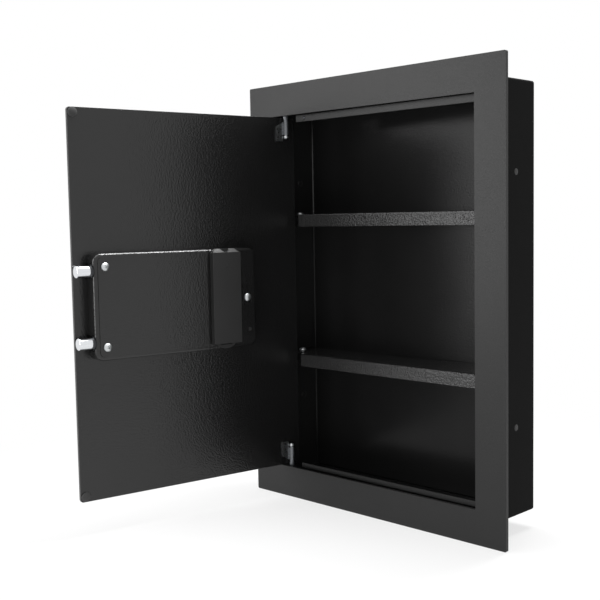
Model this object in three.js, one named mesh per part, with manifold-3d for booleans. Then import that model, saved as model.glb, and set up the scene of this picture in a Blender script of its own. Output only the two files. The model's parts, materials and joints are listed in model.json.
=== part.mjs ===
// A biometric wall safe: a steel box that sits between two wall studs behind a flat flange, with an
// inset door, two shelves and a motor lock that throws two round bolts behind the flange.
//
// Millimetres. +Z is up and +Y goes into the wall. The origin is the centre of the opening on the
// wall's surface, which is the back face of the flange. The door stands open as it does in use.
import * as THREE from 'three';
import { mergeVertices } from 'three/addons/utils/BufferGeometryUtils.js';
import Module from 'manifold-3d';

const wasm = await Module();
wasm.setup();

// Clearances shared by all the pieces
const seatGap = 0.3;
const runningGap = 0.3;

// Opening and the wall flange round it
const openingWidth = 314;
const openingHeight = 455;
const flangeSideBorder = 40;
const flangeEndBorder = 39.5;
const flangeThickness = 4;
const flangeCornerRadius = 2;

// Cabinet sleeve and the recessed pan that closes its back
const sleeveSideRoom = 11.5;
const sleeveEndRoom = 17.5;
const sleeveDepth = 96;
const sleeveSheet = 1.5;
const sleeveCornerRadius = 3;
const studHoleRadius = 4;
const studHoleDepth = 58;
const studHoleFromEnd = 102.5;
const backPanSheet = 1.5;
const backPanRecess = 11.5;

// Door plate
const doorThickness = 5;
const doorSideGap = 2;
const doorEndGap = 1.5;
const doorCornerRadius = 3.5;
const doorEdgeBevel = 1;
const openAngle = THREE.MathUtils.degToRad(99.5);

// Hinges: a fixed pin in a frame bracket, and a leaf with a knuckle on the door
const hingeInset = 17.2;
const hingePinRadius = 2;
const knuckleRadius = 3.5;
const knuckleLength = 24;
const knuckleFromOpening = 0.5;
const hingeLeafThickness = 2;
const hingeLeafWidth = 9;
const hingeLeafHeight = 24;
const hingeLeafPastKnuckle = 8;
const pinHeadRadius = 3.1;
const pinHeadLength = 5.2;
const pinTailRadius = 3;
const pinTailLength = 1.2;
const bracketTabThickness = 3;
const bracketTabMargin = 3.5;
const bracketLegThickness = 2;
const bracketLegDepth = 30;
const bracketLegHeight = 36;

// Door stops behind the top and bottom edges of the opening, and the pads that meet them
const stopSheet = 1.5;
const topStopOverlap = 9;
const bottomStopOverlap = 6;
const stopWebDepth = 11.2;
const stopEndGap = 3;
const stopSwingGap = 1;
const padRadius = 5.7;
const padThickness = 3.2;
const padInset = 6.2;

// Shelves, with the brackets and screws that hold them
const shelfSheet = 1.5;
const shelfFront = 13;
const shelfLip = 16;
const shelfRearLip = 10;
const upperShelfDrop = 125.5;
const lowerShelfRise = 147.5;
const shelfNotchPastHinge = 11.8;
const shelfNotchGap = 5;
const shelfBracketDepth = 45;
const shelfBracketLength = 18;
const shelfBracketReach = 19;
const shelfBracketDrop = 14;
const shelfBracketSheet = 1.5;
const shelfScrewInset = 12.5;
const shelfScrewRadius = 2;
const shelfScrewLength = 7;
const shelfScrewHeadRadius = 4.8;
const shelfScrewHeadHeight = 3.2;

// Lock cover on the inside of the door
const coverTrayMargin = 6;
const coverPastButton = 11.2;
const coverSheet = 1.5;
const coverCornerRadius = 10;
const coverEdgeBevel = 2.5;
const coverEdgeInset = 17;
const coverScrewRadius = 1.6;
const coverScrewHeadRadius = 5;
const coverScrewHeadHeight = 2.8;
const boltScrewInset = 13.7;
const boltScrewPastBolt = 5;
const postScrewInset = 14.1;
const coverPostRadius = 3.6;
const coverPostThread = 8;

// Live bolts, their guides and the carriage that carries them
const boltRadius = 7;
const boltOffset = 41;
const boltTipPastDoor = 1;
const boltThrow = 11;
const boltTipBevel = 0.8;
const boltCoverGap = 1.75;
const boltStubRadius = 3;
const boltStubPastBar = 1.5;
const guideBlockLength = 18.2;
const guideBlockWall = 4.2;
const guideSpigotWall = 1.3;
const guideCollarLip = 0.7;
const guideCollarLength = 1.5;
const guideDoorGap = 0.45;
const carriageBarLength = 100;
const carriageBarThickness = 4;
const carriageBarRoom = 7.3;
const carriagePlateSheet = 2.5;
const carriagePlateEdge = 4.3;
const carriagePlateTop = 12;
const carriagePlateBottom = -50;
const carriageCoverGap = 1;
const carriageStudRadius = 2.5;
const carriageStudShoulder = 4;
const carriageStudHead = 0.5;
const upperStudHeight = 7.5;
const lowerStudMotorGap = 2.3;
const lowerStudEdge = 3.2;

// Gear motor and the rack and pinion that move the carriage
const toothModule = 1;
const pinionTeeth = 12;
const pressureAngle = THREE.MathUtils.degToRad(20);
const gearBacklash = 0.3;
const rackAddendum = 0.65;
const rackTeeth = 7;
const gearFaceWidth = 8;
const pinionBarRoom = 4.7;
const pinionDoorGap = 0.45;
const pinionHeight = -1.7;
const motorWidth = 12;
const motorThickness = 10;
const motorLength = 24;
const gearboxLength = 9.7;
const motorShaftRadius = 1.5;
const motorBracketSheet = 1.5;
const motorBracketLength = 24;
const motorBracketOverhang = 2;

// Key lock for emergencies
const keyWindowWeb = 2.2;
const keyHeight = -32;
const keyShellRadius = 9.5;
const keyFlangeRadius = 11;
const keyFlangeThickness = 1.5;
const keyPlugRadius = 6;
const keywayWidth = 2;
const keywayHeight = 8;
const keywayDepth = 12;
const keyCamRoom = 3.5;
const keyCamThickness = 2;
const keyCamReach = 9;
const keyCamPinRadius = 1.5;
const keyCamTravelGap = 2.2;

// Fingerprint reader on the front of the door
const readerWidth = 64;
const readerHeight = 112;
const readerDepth = 6;
const readerCornerRadius = 12;
const readerEdgeBevel = 1.5;
const readerCentreHeight = -3;
const ribbonStudGap = 2.3;
const sensorPocketWidth = 26;
const sensorPocketHeight = 34;
const sensorPocketDepth = 2.2;
const sensorPocketRadius = 9;
const sensorWidth = 17;
const sensorLength = 23;
const sensorThickness = 1.5;
const lightRadius = 2;
const lightHeight = 43;
const lightLength = 2.5;
const lightStandProud = 0.4;
const capRadius = 13;
const capThickness = 2.2;
const capPivotWall = 0.8;
const capPivotRadius = 1.5;
const capPivotLength = 3.5;
const ribbonHoleWidth = 18;
const ribbonHoleHeight = 5;

// Circuit board
const boardWidth = 38;
const boardHeight = 100;
const boardThickness = 1.6;
const boardStandOff = 6;
const keyBoardGap = 8.5;
const boardPostRadius = 2.5;
const boardPostInset = 4;
const boardChipSize = 14;
const boardChipHeight = 2;
const boardPlugWidth = 16;
const boardPlugHeight = 5;
const boardPlugLength = 6;

// Battery box: four AA cells in two rows under a tilting lid
const boardTrayGap = 11.8;
const batteryHeight = 1.5;
const cellRadius = 7.1;
const cellLength = 50;
const cellNubRadius = 2.7;
const cellNubLength = 0.9;
const cellGap = 1;
const cellWallGap = 0.4;
const cellEndRoom = 0.35;
const traySheet = 1.5;
const trayRimProud = 4;
const trayRimLip = 1.4;
const trayRimThickness = 1;
const contactThickness = 0.8;
const contactEdge = 1.1;
const contactHeight = 12;
const lidRimGap = 0.55;
const lidEndGap = 0.7;
const lidTopGap = 1.7;
const lidSheet = 1.5;
const lidWall = 1.2;
const lidCornerRadius = 1.6;
const lidSlopeLength = 4.2;
const lidSlopeTopWidth = 24;
const lidSlopeFoot = 1;
const lidLipLength = 6.6;
const lidLipWidth = 29;
const lidLipThickness = 1.8;
const thumbNotchRadius = 6;

// Programming button and its switch
const buttonPastTray = 19.3;
const buttonHeight = -40;
const buttonRadius = 2.2;
const buttonFlangeRadius = 3.2;
const buttonFlangeThickness = 1.5;
const buttonProud = 1.2;
const buttonTravel = 1.2;
const buttonLength = 8;
const switchSize = 7;

// Ribbon and lead inside the lock cover
const ribbonThickness = 0.8;
const leadRadius = 1.1;
const leadSides = 6;
const leadSteps = 10;

// Sizes that follow from the values above. Places across the door are counted from the cover's
// bolt end.
const flangeWidth = openingWidth + 2 * flangeSideBorder;
const flangeHeight = openingHeight + 2 * flangeEndBorder;
const sleeveWidth = openingWidth + 2 * (sleeveSideRoom + sleeveSheet);
const sleeveHeight = openingHeight + 2 * (sleeveEndRoom + sleeveSheet);
const studHoleOffset = sleeveHeight / 2 - studHoleFromEnd;
const upperShelfTop = openingHeight / 2 - upperShelfDrop;
const lowerShelfTop = lowerShelfRise - openingHeight / 2;
const sleeveHalfWidth = sleeveWidth / 2 - sleeveSheet;
const sleeveHalfHeight = sleeveHeight / 2 - sleeveSheet;
const backPanFront = sleeveDepth - backPanRecess - backPanSheet;
const doorWidth = openingWidth - 2 * doorSideGap;
const doorHeight = openingHeight - 2 * doorEndGap;
const doorInnerY = doorThickness - flangeThickness;
const hingeX = hingeInset - openingWidth / 2;
const hingeDepth = knuckleRadius + seatGap;
const hingeY = doorInnerY + hingeDepth;
const hingeEdge = hingeX + doorWidth / 2;
const swingRadius = Math.hypot(hingeEdge, hingeDepth + doorThickness);
const stopFront = doorInnerY + seatGap + padThickness + runningGap;
const coverRight = doorWidth / 2 - coverEdgeInset;
const cellPitch = 2 * cellRadius + cellGap;
const trayInnerWidth = cellPitch + 2 * (cellRadius + cellWallGap);
const trayEndRoom = contactThickness + seatGap + cellEndRoom;
const trayInnerLength = 2 * (cellLength + cellNubLength + trayEndRoom) + seatGap;
const trayHalfWidth = trayInnerWidth / 2 + traySheet;
const trayHalfLength = trayInnerLength / 2 + traySheet;
const lidWidth = 2 * (trayHalfWidth + trayRimLip + lidRimGap + lidWall);
const lidHeight = 2 * (trayHalfLength + lidEndGap + lidWall);
const lidProud = trayRimProud + lidTopGap + lidSheet;
const guideSpigotRadius = boltRadius + runningGap + guideSpigotWall;
const guideCollarRadius = guideSpigotRadius + guideCollarLip;
const guideBlockHeight = 2 * (boltRadius + runningGap + guideBlockWall);
const boltDepth = guideCollarRadius + guideDoorGap;
const boltScrewOffset = boltOffset + boltScrewPastBolt;
const pinionRadius = toothModule * pinionTeeth / 2;
const pinionTip = pinionRadius + toothModule;
const rackReach = pinionRadius + 1.25 * toothModule;
const gearStack = pinionDoorGap + pinionTip + rackReach + seatGap + carriagePlateSheet + carriageCoverGap;
const boltStack = boltDepth + boltRadius + boltCoverGap;
const coverInnerFace = Math.max(gearStack, boltStack);
const coverDepth = coverInnerFace + coverSheet;
const boltTip = doorWidth / 2 + boltTipPastDoor;
const carriageBarInset = coverSheet + seatGap + guideBlockLength + carriageBarRoom + boltThrow;
const carriageBarFront = coverRight - carriageBarInset;
const carriageBarBack = carriageBarFront - carriageBarThickness;
const carriagePlateTopFace = coverInnerFace - carriageCoverGap;
const carriagePlateFace = carriagePlateTopFace - carriagePlateSheet;
const pinionX = carriageBarBack - pinionTip - pinionBarRoom;
const lowerStudAcross = pinionX - motorWidth / 2 - lowerStudMotorGap - carriageStudShoulder;
const lowerStudHeight = carriagePlateBottom + lowerStudEdge + carriageStudRadius;
const slotReach = boltThrow + carriageStudRadius + runningGap;
const keyWindowEnd = keyCamPinRadius + keyCamTravelGap;
const keyAcross = lowerStudAcross - slotReach - keyWindowWeb - keyWindowEnd;
const keyWindowStart = keyAcross - keyCamReach - keyCamPinRadius - boltThrow - keyCamTravelGap;
const carriagePlateEnd = keyWindowStart - carriagePlateEdge;
const capPivotRise = keyFlangeRadius + seatGap + capPivotWall + capPivotRadius + runningGap;
const capPivotHeight = keyHeight + capPivotRise;
const ribbonHalfWidth = ribbonHoleHeight / 2 - seatGap;
const sensorHeight = upperStudHeight + carriageStudShoulder + ribbonStudGap + ribbonHalfWidth;
const boardAcross = keyAcross - keyShellRadius - keyBoardGap - boardWidth / 2;
const batteryAcross = boardAcross - boardWidth / 2 - boardTrayGap - trayHalfWidth;
const buttonAcross = batteryAcross - trayHalfWidth - buttonPastTray;
const coverLeft = buttonAcross - coverPastButton;
const coverWidth = coverRight - coverLeft;
const coverCentre = (coverLeft + coverRight) / 2;
const coverTrayReach = Math.abs(batteryHeight) + trayHalfLength + coverTrayMargin;
const coverGuideReach = boltOffset + guideBlockHeight / 2 + coverCornerRadius - 1;
const coverHeight = 2 * Math.max(coverTrayReach, coverGuideReach);
const rackRoot = carriagePlateFace - seatGap;
const pinionDepth = rackRoot - rackReach;
const keyShellDepth = carriagePlateFace - keyCamRoom;

// Makes a solid from a three.js geometry, with its shared corners merged.
function solidFrom(geometry) {
  const plain = geometry.clone();
  plain.deleteAttribute('normal');
  plain.deleteAttribute('uv');
  const merged = mergeVertices(plain, 1e-4);
  return new wasm.Manifold(new wasm.Mesh({
    numProp: 3,
    vertProperties: Float32Array.from(merged.attributes.position.array),
    triVerts: Uint32Array.from(merged.index.array),
  }));
}

function geometryFrom(solid) {
  const mesh = solid.getMesh();
  const geometry = new THREE.BufferGeometry();
  geometry.setAttribute('position', new THREE.BufferAttribute(mesh.vertProperties, 3));
  geometry.setIndex(new THREE.BufferAttribute(mesh.triVerts, 1));
  geometry.computeVertexNormals();
  return geometry;
}

// Finishes, as the colour, roughness and metalness that the safe shows
const finishes = {
  hammerBlack: { color: 0x17181a, roughness: 0.42, metalness: 0.1 },
  satinBlack: { color: 0x2b2c2e, roughness: 0.5, metalness: 0.1 },
  chromedSteel: { color: 0xdfe1e4, roughness: 0.12, metalness: 1 },
  zincedSteel: { color: 0xb9bcbd, roughness: 0.3, metalness: 1 },
  blackenedSteel: { color: 0x2e2f31, roughness: 0.4, metalness: 0.8 },
  blackPlastic: { color: 0x1c1c1d, roughness: 0.4, metalness: 0 },
  blackRubber: { color: 0x3a3a3a, roughness: 0.85, metalness: 0 },
  darkGlass: { color: 0x0b1016, roughness: 0.08, metalness: 0 },
  greenLens: { color: 0x2f8f3c, roughness: 0.2, metalness: 0 },
  greenBoard: { color: 0x1d5a34, roughness: 0.5, metalness: 0 },
  nickelPlate: { color: 0xc9c6bd, roughness: 0.25, metalness: 1 },
  brass: { color: 0xb08d4a, roughness: 0.3, metalness: 1 },
  cellWrap: { color: 0x2f3f52, roughness: 0.4, metalness: 0.2 },
  greyCable: { color: 0x8d9093, roughness: 0.6, metalness: 0 },
};

function piece(name, solid, finish) {
  const mesh = new THREE.Mesh(geometryFrom(solid), new THREE.MeshStandardMaterial(finishes[finish]));
  mesh.name = name;
  return mesh;
}

function join(...solids) {
  return solids.reduce((sum, next) => sum.add(next));
}

function cut(solid, ...tools) {
  return tools.reduce((rest, tool) => rest.subtract(tool), solid);
}

// A block between two values on each axis.
function block(x, y, z) {
  const geometry = new THREE.BoxGeometry(x[1] - x[0], y[1] - y[0], z[1] - z[0]);
  geometry.translate((x[0] + x[1]) / 2, (y[0] + y[1]) / 2, (z[0] + z[1]) / 2);
  return solidFrom(geometry);
}

// The planes that an outline can lie in: where its two axes and its depth point.
const planes = {
  xy: new THREE.Matrix4().makeBasis(new THREE.Vector3(1, 0, 0), new THREE.Vector3(0, 1, 0), new THREE.Vector3(0, 0, 1)),
  yz: new THREE.Matrix4().makeBasis(new THREE.Vector3(0, 1, 0), new THREE.Vector3(0, 0, 1), new THREE.Vector3(1, 0, 0)),
  xz: new THREE.Matrix4().makeBasis(new THREE.Vector3(1, 0, 0), new THREE.Vector3(0, 0, 1), new THREE.Vector3(0, -1, 0)),
};

// An outline drawn out between two values along the axis that its plane leaves.
function prism(shape, plane, from, to, arcSteps = 4) {
  const options = { depth: to - from, bevelEnabled: false, curveSegments: arcSteps };
  const geometry = new THREE.ExtrudeGeometry(shape, options);
  geometry.applyMatrix4(planes[plane]);
  const start = { xy: [0, 0, from], yz: [from, 0, 0], xz: [0, to, 0] }[plane];
  geometry.translate(...start);
  return solidFrom(geometry);
}

// A flat slab whose edge is rounded off on one side only, lying across the depth axis.
function easedSlab(shape, roundedFace, squareFace, bevel, steps, arcSteps = 4) {
  const reach = Math.abs(squareFace - roundedFace);
  const options = {
    depth: reach,
    bevelEnabled: true,
    bevelSize: bevel,
    bevelOffset: -bevel,
    bevelThickness: bevel,
    bevelSegments: steps,
    curveSegments: arcSteps,
  };
  const geometry = new THREE.ExtrudeGeometry(shape, options);
  geometry.applyMatrix4(planes.xz);
  const roundsDown = roundedFace < squareFace;
  geometry.translate(0, roundsDown ? roundedFace + reach + bevel : roundedFace - bevel, 0);
  geometry.computeBoundingBox();
  const box = geometry.boundingBox;
  const beyond = 2 * bevel + 1;
  const trimDepth = roundsDown ? [squareFace, squareFace + beyond] : [squareFace - beyond, squareFace];
  const trim = block([box.min.x - 1, box.max.x + 1], trimDepth, [box.min.z - 1, box.max.z + 1]);
  return cut(solidFrom(geometry), trim);
}

// A round bar along one axis, centred on the other two in X, Y, Z order.
function rod(axis, radius, from, to, centre, sides = 24) {
  const geometry = new THREE.CylinderGeometry(radius, radius, to - from, sides);
  const middle = (from + to) / 2;
  if (axis === 'x') geometry.rotateZ(-Math.PI / 2).translate(middle, centre[0], centre[1]);
  if (axis === 'y') geometry.translate(centre[0], middle, centre[1]);
  if (axis === 'z') geometry.rotateX(Math.PI / 2).translate(centre[0], centre[1], middle);
  return solidFrom(geometry);
}

// A turned piece along +Y from a profile of [radius, height] points that starts and ends on the axis.
function turned(profile, sides = 20) {
  const points = profile.map(([radius, height]) => new THREE.Vector2(radius, height));
  return new THREE.LatheGeometry(points, sides);
}

// The profile of a domed head of a given radius and height above its seat.
function domeProfile(radius, height, steps = 4) {
  const points = [[0, 0]];
  for (let i = 0; i <= steps; i += 1) {
    const angle = (i / steps) * Math.PI / 2;
    points.push([i === steps ? 0 : radius * Math.cos(angle), height * Math.sin(angle)]);
  }
  return points;
}

function outline(points) {
  const shape = new THREE.Shape();
  points.forEach(([across, up], i) => (i ? shape.lineTo(across, up) : shape.moveTo(across, up)));
  shape.closePath();
  return shape;
}

function roundedRectangle(left, right, bottom, top, radius) {
  const shape = new THREE.Shape();
  shape.moveTo(left + radius, bottom);
  shape.lineTo(right - radius, bottom);
  shape.absarc(right - radius, bottom + radius, radius, -Math.PI / 2, 0, false);
  shape.lineTo(right, top - radius);
  shape.absarc(right - radius, top - radius, radius, 0, Math.PI / 2, false);
  shape.lineTo(left + radius, top);
  shape.absarc(left + radius, top - radius, radius, Math.PI / 2, Math.PI, false);
  shape.lineTo(left, bottom + radius);
  shape.absarc(left + radius, bottom + radius, radius, Math.PI, 1.5 * Math.PI, false);
  return shape;
}

function centredRectangle(width, height, radius, across = 0, up = 0) {
  const left = across - width / 2;
  const bottom = up - height / 2;
  return roundedRectangle(left, left + width, bottom, bottom + height, radius);
}

// The flat border on the wall's surface, with the opening that the door fills.
function makeWallFlange() {
  const plate = prism(
    centredRectangle(flangeWidth, flangeHeight, flangeCornerRadius), 'xz', -flangeThickness, 0, 3);
  const opening = block(
    [-openingWidth / 2, openingWidth / 2], [-flangeThickness - 1, 1], [-openingHeight / 2, openingHeight / 2]);
  return piece('wall_flange', cut(plate, opening), 'satinBlack');
}

// The folded sleeve between the studs, with two lag-screw holes in each side.
function makeBodySleeve() {
  const outer = prism(centredRectangle(sleeveWidth, sleeveHeight, sleeveCornerRadius), 'xz', 0, sleeveDepth);
  const innerRadius = sleeveCornerRadius - sleeveSheet;
  const innerShape = centredRectangle(2 * sleeveHalfWidth, 2 * sleeveHalfHeight, innerRadius);
  const inner = prism(innerShape, 'xz', -1, sleeveDepth + 1, 2);
  const reach = sleeveWidth / 2 + 1;
  const holes = [-studHoleOffset, studHoleOffset].map(
    (height) => rod('x', studHoleRadius, -reach, reach, [studHoleDepth, height], 12));
  return piece('body_sleeve', cut(outer, inner, ...holes), 'satinBlack');
}

// The pan welded inside the sleeve: its floor is the back wall and its rim runs to the sleeve's edge.
function makeBackPan() {
  const radius = sleeveCornerRadius;
  const outer = prism(
    centredRectangle(2 * sleeveHalfWidth, 2 * sleeveHalfHeight, radius), 'xz', backPanFront, sleeveDepth);
  const hollowWidth = 2 * (sleeveHalfWidth - backPanSheet);
  const hollowHeight = 2 * (sleeveHalfHeight - backPanSheet);
  const hollow = prism(
    centredRectangle(hollowWidth, hollowHeight, radius - backPanSheet), 'xz',
    backPanFront + backPanSheet, sleeveDepth + 1, 2);
  return piece('back_pan', cut(outer, hollow), 'hammerBlack');
}

// A folded strip that stops the door: a narrow face that reaches a little way into the opening, a
// web and a leg up to the sleeve. side is 1 for the strip above the opening and -1 for the one below.
function makeDoorStop(name, side, overlap) {
  const webOuter = openingHeight / 2;
  const faceEdge = webOuter - overlap;
  const webBack = stopFront + stopWebDepth;
  const profile = outline([
    [stopFront, side * faceEdge],
    [stopFront + stopSheet, side * faceEdge],
    [stopFront + stopSheet, side * (webOuter - stopSheet)],
    [webBack, side * (webOuter - stopSheet)],
    [webBack, side * sleeveHalfHeight],
    [webBack - stopSheet, side * sleeveHalfHeight],
    [webBack - stopSheet, side * webOuter],
    [stopFront, side * webOuter],
  ]);
  const start = hingeX + swingRadius + stopSwingGap;
  return piece(name, prism(profile, 'yz', start, sleeveHalfWidth - stopEndGap), 'hammerBlack');
}

// The heights of the knuckle, tab and leg of one hinge, measured outwards from the door's middle.
function hingeHeights() {
  const knuckleEnd = openingHeight / 2 + knuckleFromOpening;
  const knuckleStart = knuckleEnd - knuckleLength;
  const tabStart = knuckleEnd + runningGap;
  return { knuckleStart, knuckleEnd, tabStart, tabEnd: tabStart + bracketTabThickness };
}

// Orders two heights that were given outwards from the middle, for the upper or the lower side.
function heights(side, inner, outer) {
  return side > 0 ? [inner, outer] : [-outer, -inner];
}

// The frame bracket of a hinge: a leg on the sleeve's side wall and a tab that holds the pin.
function makeHingeBracket(name, side) {
  const { tabStart, tabEnd } = hingeHeights();
  const tab = block(
    [-sleeveHalfWidth, hingeX + hingePinRadius + bracketTabMargin],
    [seatGap, hingeY + hingePinRadius + bracketTabMargin], heights(side, tabStart, tabEnd));
  const leg = block(
    [-sleeveHalfWidth, bracketLegThickness - sleeveHalfWidth],
    [seatGap, bracketLegDepth], heights(side, tabEnd - bracketLegHeight, tabEnd));
  const hole = rod('z', hingePinRadius + seatGap, ...heights(side, tabStart - 1, tabEnd + 1), [hingeX, hingeY]);
  return piece(name, cut(join(tab, leg), hole), 'hammerBlack');
}

// A hinge pin with a round head below the knuckle and a riveted tail beyond the bracket's tab.
function makeHingePin(name, side) {
  const { knuckleStart, tabEnd } = hingeHeights();
  const headEnd = knuckleStart - runningGap;
  const headMiddle = headEnd - pinHeadLength / 2;
  const shank = rod(
    'z', hingePinRadius, ...heights(side, headMiddle, tabEnd + seatGap), [hingeX, hingeY], 16);
  const headGeometry = new THREE.SphereGeometry(pinHeadRadius, 16, 8);
  headGeometry.rotateX(Math.PI / 2);
  headGeometry.scale(1, 1, pinHeadLength / (2 * pinHeadRadius));
  headGeometry.translate(hingeX, hingeY, side * headMiddle);
  const tail = rod(
    'z', pinTailRadius, ...heights(side, tabEnd + seatGap, tabEnd + seatGap + pinTailLength), [hingeX, hingeY], 16);
  return piece(name, join(shank, solidFrom(headGeometry), tail), 'zincedSteel');
}

// A shelf: a sheet with folded front and rear lips, cut back at the hinge side so the door can swing.
function makeShelf(name, top) {
  const right = sleeveHalfWidth - seatGap;
  const rear = backPanFront - seatGap;
  const notchEdge = hingeX + shelfNotchPastHinge;
  const notchBack = hingeY + swingRadius + shelfNotchGap;
  const folded = prism(outline([
    [shelfFront, top],
    [shelfFront, top - shelfLip],
    [shelfFront + shelfSheet, top - shelfLip],
    [shelfFront + shelfSheet, top - shelfSheet],
    [rear - shelfSheet, top - shelfSheet],
    [rear - shelfSheet, top - shelfRearLip],
    [rear, top - shelfRearLip],
    [rear, top],
  ]), 'yz', -right, right);
  const notch = block([-right - 1, notchEdge], [shelfFront - 1, notchBack], [top - shelfLip - 1, top + 1]);
  const holes = [-1, 1].map((hand) => rod(
    'z', shelfScrewRadius + seatGap, top - shelfLip, top + 1, [shelfScrewX(hand), shelfBracketDepth], 12));
  return piece(name, cut(folded, notch, ...holes), 'hammerBlack');
}

function shelfScrewX(hand) {
  return hand * (sleeveHalfWidth - shelfScrewInset);
}

// An angle bracket on the sleeve's side wall under a shelf. hand is -1 on the hinge side.
function makeShelfBracket(name, top, hand) {
  const wall = hand * sleeveHalfWidth;
  const seat = top - shelfSheet;
  const order = (a, b) => (a < b ? [a, b] : [b, a]);
  const along = [shelfBracketDepth - shelfBracketLength / 2, shelfBracketDepth + shelfBracketLength / 2];
  const foot = block(order(wall, wall - hand * shelfBracketReach), along, [seat - shelfBracketSheet, seat]);
  const leg = block(order(wall, wall - hand * shelfBracketSheet), along, [seat - shelfBracketDrop, seat]);
  const hole = rod(
    'z', shelfScrewRadius + seatGap, seat - shelfBracketDrop, seat + 1, [shelfScrewX(hand), shelfBracketDepth], 12);
  return piece(name, cut(join(foot, leg), hole), 'hammerBlack');
}

function makeShelfScrew(name, top, hand) {
  const head = turned(domeProfile(shelfScrewHeadRadius, shelfScrewHeadHeight), 16).rotateX(Math.PI / 2);
  head.translate(shelfScrewX(hand), shelfBracketDepth, top);
  const shank = rod(
    'z', shelfScrewRadius, top - shelfScrewLength, top + 0.5, [shelfScrewX(hand), shelfBracketDepth], 12);
  return piece(name, join(solidFrom(head), shank), 'zincedSteel');
}

// From here on X runs across the door, Y is the depth behind the door's inner face and Z is up.

// The door plate, flush in the opening when shut, with holes for the key lock and the reader's ribbon.
function makeDoorPanel() {
  const shape = centredRectangle(doorWidth, doorHeight, doorCornerRadius);
  const plate = easedSlab(shape, -doorThickness, 0, doorEdgeBevel, 1, 3);
  const keyHole = rod(
    'y', keyShellRadius + seatGap, -doorThickness - 1, 1, [keyAcross, keyHeight], 24);
  const ribbonHole = prism(
    centredRectangle(ribbonHoleWidth, ribbonHoleHeight, 2, keyAcross, sensorHeight), 'xz', -doorThickness - 1, 1, 2);
  return piece('door_panel', cut(plate, keyHole, ribbonHole), 'hammerBlack');
}

// The moving leaf of a hinge: a plate on the door's inner face that rolls into the knuckle.
function makeHingeLeaf(name, side) {
  const { knuckleStart, knuckleEnd } = hingeHeights();
  const leafStart = knuckleStart - hingeLeafPastKnuckle;
  const leafEnd = leafStart + hingeLeafHeight;
  const near = hingeX + knuckleRadius + seatGap;
  const far = near + hingeLeafWidth;
  const slant = hingeLeafWidth * 0.6;
  const face = [
    [hingeX, knuckleStart],
    [near, knuckleStart],
    [near, leafStart],
    [far, leafStart],
    [far, leafEnd - slant],
    [near, leafEnd],
    [hingeX, leafEnd],
  ].map(([across, up]) => [across, side * up]);
  const plate = prism(outline(face), 'xz', seatGap, seatGap + hingeLeafThickness);
  const knuckle = rod('z', knuckleRadius, ...heights(side, knuckleStart, knuckleEnd), [hingeX, hingeDepth]);
  const bore = rod(
    'z', hingePinRadius + runningGap, ...heights(side, knuckleStart - 1, knuckleEnd + 1), [hingeX, hingeDepth]);
  return piece(name, cut(join(plate, knuckle), bore), 'zincedSteel');
}

function makeBumperPad(name, side) {
  const centre = [doorWidth / 2 - padInset, side * (doorHeight / 2 - padInset)];
  const dome = turned(domeProfile(padRadius, padThickness), 20);
  dome.translate(centre[0], seatGap, centre[1]);
  return piece(name, solidFrom(dome), 'blackRubber');
}

// Where the cover's three screws stand: two over the bolt guides and one over the post.
function coverScrewPlaces() {
  const overGuides = coverRight - boltScrewInset;
  const overPost = coverLeft + postScrewInset;
  return [[overGuides, boltScrewOffset], [overGuides, -boltScrewOffset], [overPost, 0]];
}

// The pressed cover over the lock, open towards the door.
function makeLockCover() {
  const shape = centredRectangle(coverWidth, coverHeight, coverCornerRadius, coverCentre);
  const shell = easedSlab(shape, coverDepth, seatGap, coverEdgeBevel, 2, 5);
  const innerShape = centredRectangle(
    coverWidth - 2 * coverSheet, coverHeight - 2 * coverSheet, coverCornerRadius - coverSheet, coverCentre);
  const hollow = easedSlab(innerShape, coverInnerFace, seatGap - 1, coverEdgeBevel - coverSheet / 2, 1, 5);
  const halfTray = trayHalfWidth + seatGap;
  const halfTrayLength = trayHalfLength + seatGap;
  const window = block(
    [batteryAcross - halfTray, batteryAcross + halfTray], [coverInnerFace - 1, coverDepth + 1],
    [batteryHeight - halfTrayLength, batteryHeight + halfTrayLength]);
  const screwHoles = coverScrewPlaces().map(
    (place) => rod('y', coverScrewRadius + seatGap, coverInnerFace - 1, coverDepth + 1, place, 12));
  const buttonHole = rod(
    'y', buttonRadius + runningGap, coverInnerFace - 1, coverDepth + 1, [buttonAcross, buttonHeight], 12);
  const wall = [coverRight - coverSheet - 1, coverRight + 1];
  const notchRadius = guideSpigotRadius + seatGap;
  const notches = [-boltOffset, boltOffset].flatMap((height) => [
    rod('x', notchRadius, ...wall, [boltDepth, height]),
    block(wall, [seatGap - 1, boltDepth], [height - notchRadius, height + notchRadius]),
  ]);
  return piece('lock_cover', cut(shell, hollow, window, buttonHole, ...screwHoles, ...notches), 'hammerBlack');
}

function makeCoverScrew(name, place, tip) {
  const head = turned(domeProfile(coverScrewHeadRadius, coverScrewHeadHeight), 16);
  head.translate(place[0], coverDepth + seatGap, place[1]);
  const shank = rod('y', coverScrewRadius, tip, coverDepth + seatGap + 0.5, place, 12);
  return piece(name, join(solidFrom(head), shank), 'zincedSteel');
}

// The post that the cover's hinge-side screw threads into.
function makeCoverPost() {
  const [, , place] = coverScrewPlaces();
  const top = coverInnerFace - seatGap;
  const post = rod('y', coverPostRadius, seatGap, top, place, 6);
  const thread = rod('y', coverScrewRadius + seatGap, top - coverPostThread, top + 1, place, 12);
  return piece('cover_post', cut(post, thread), 'zincedSteel');
}

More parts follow.
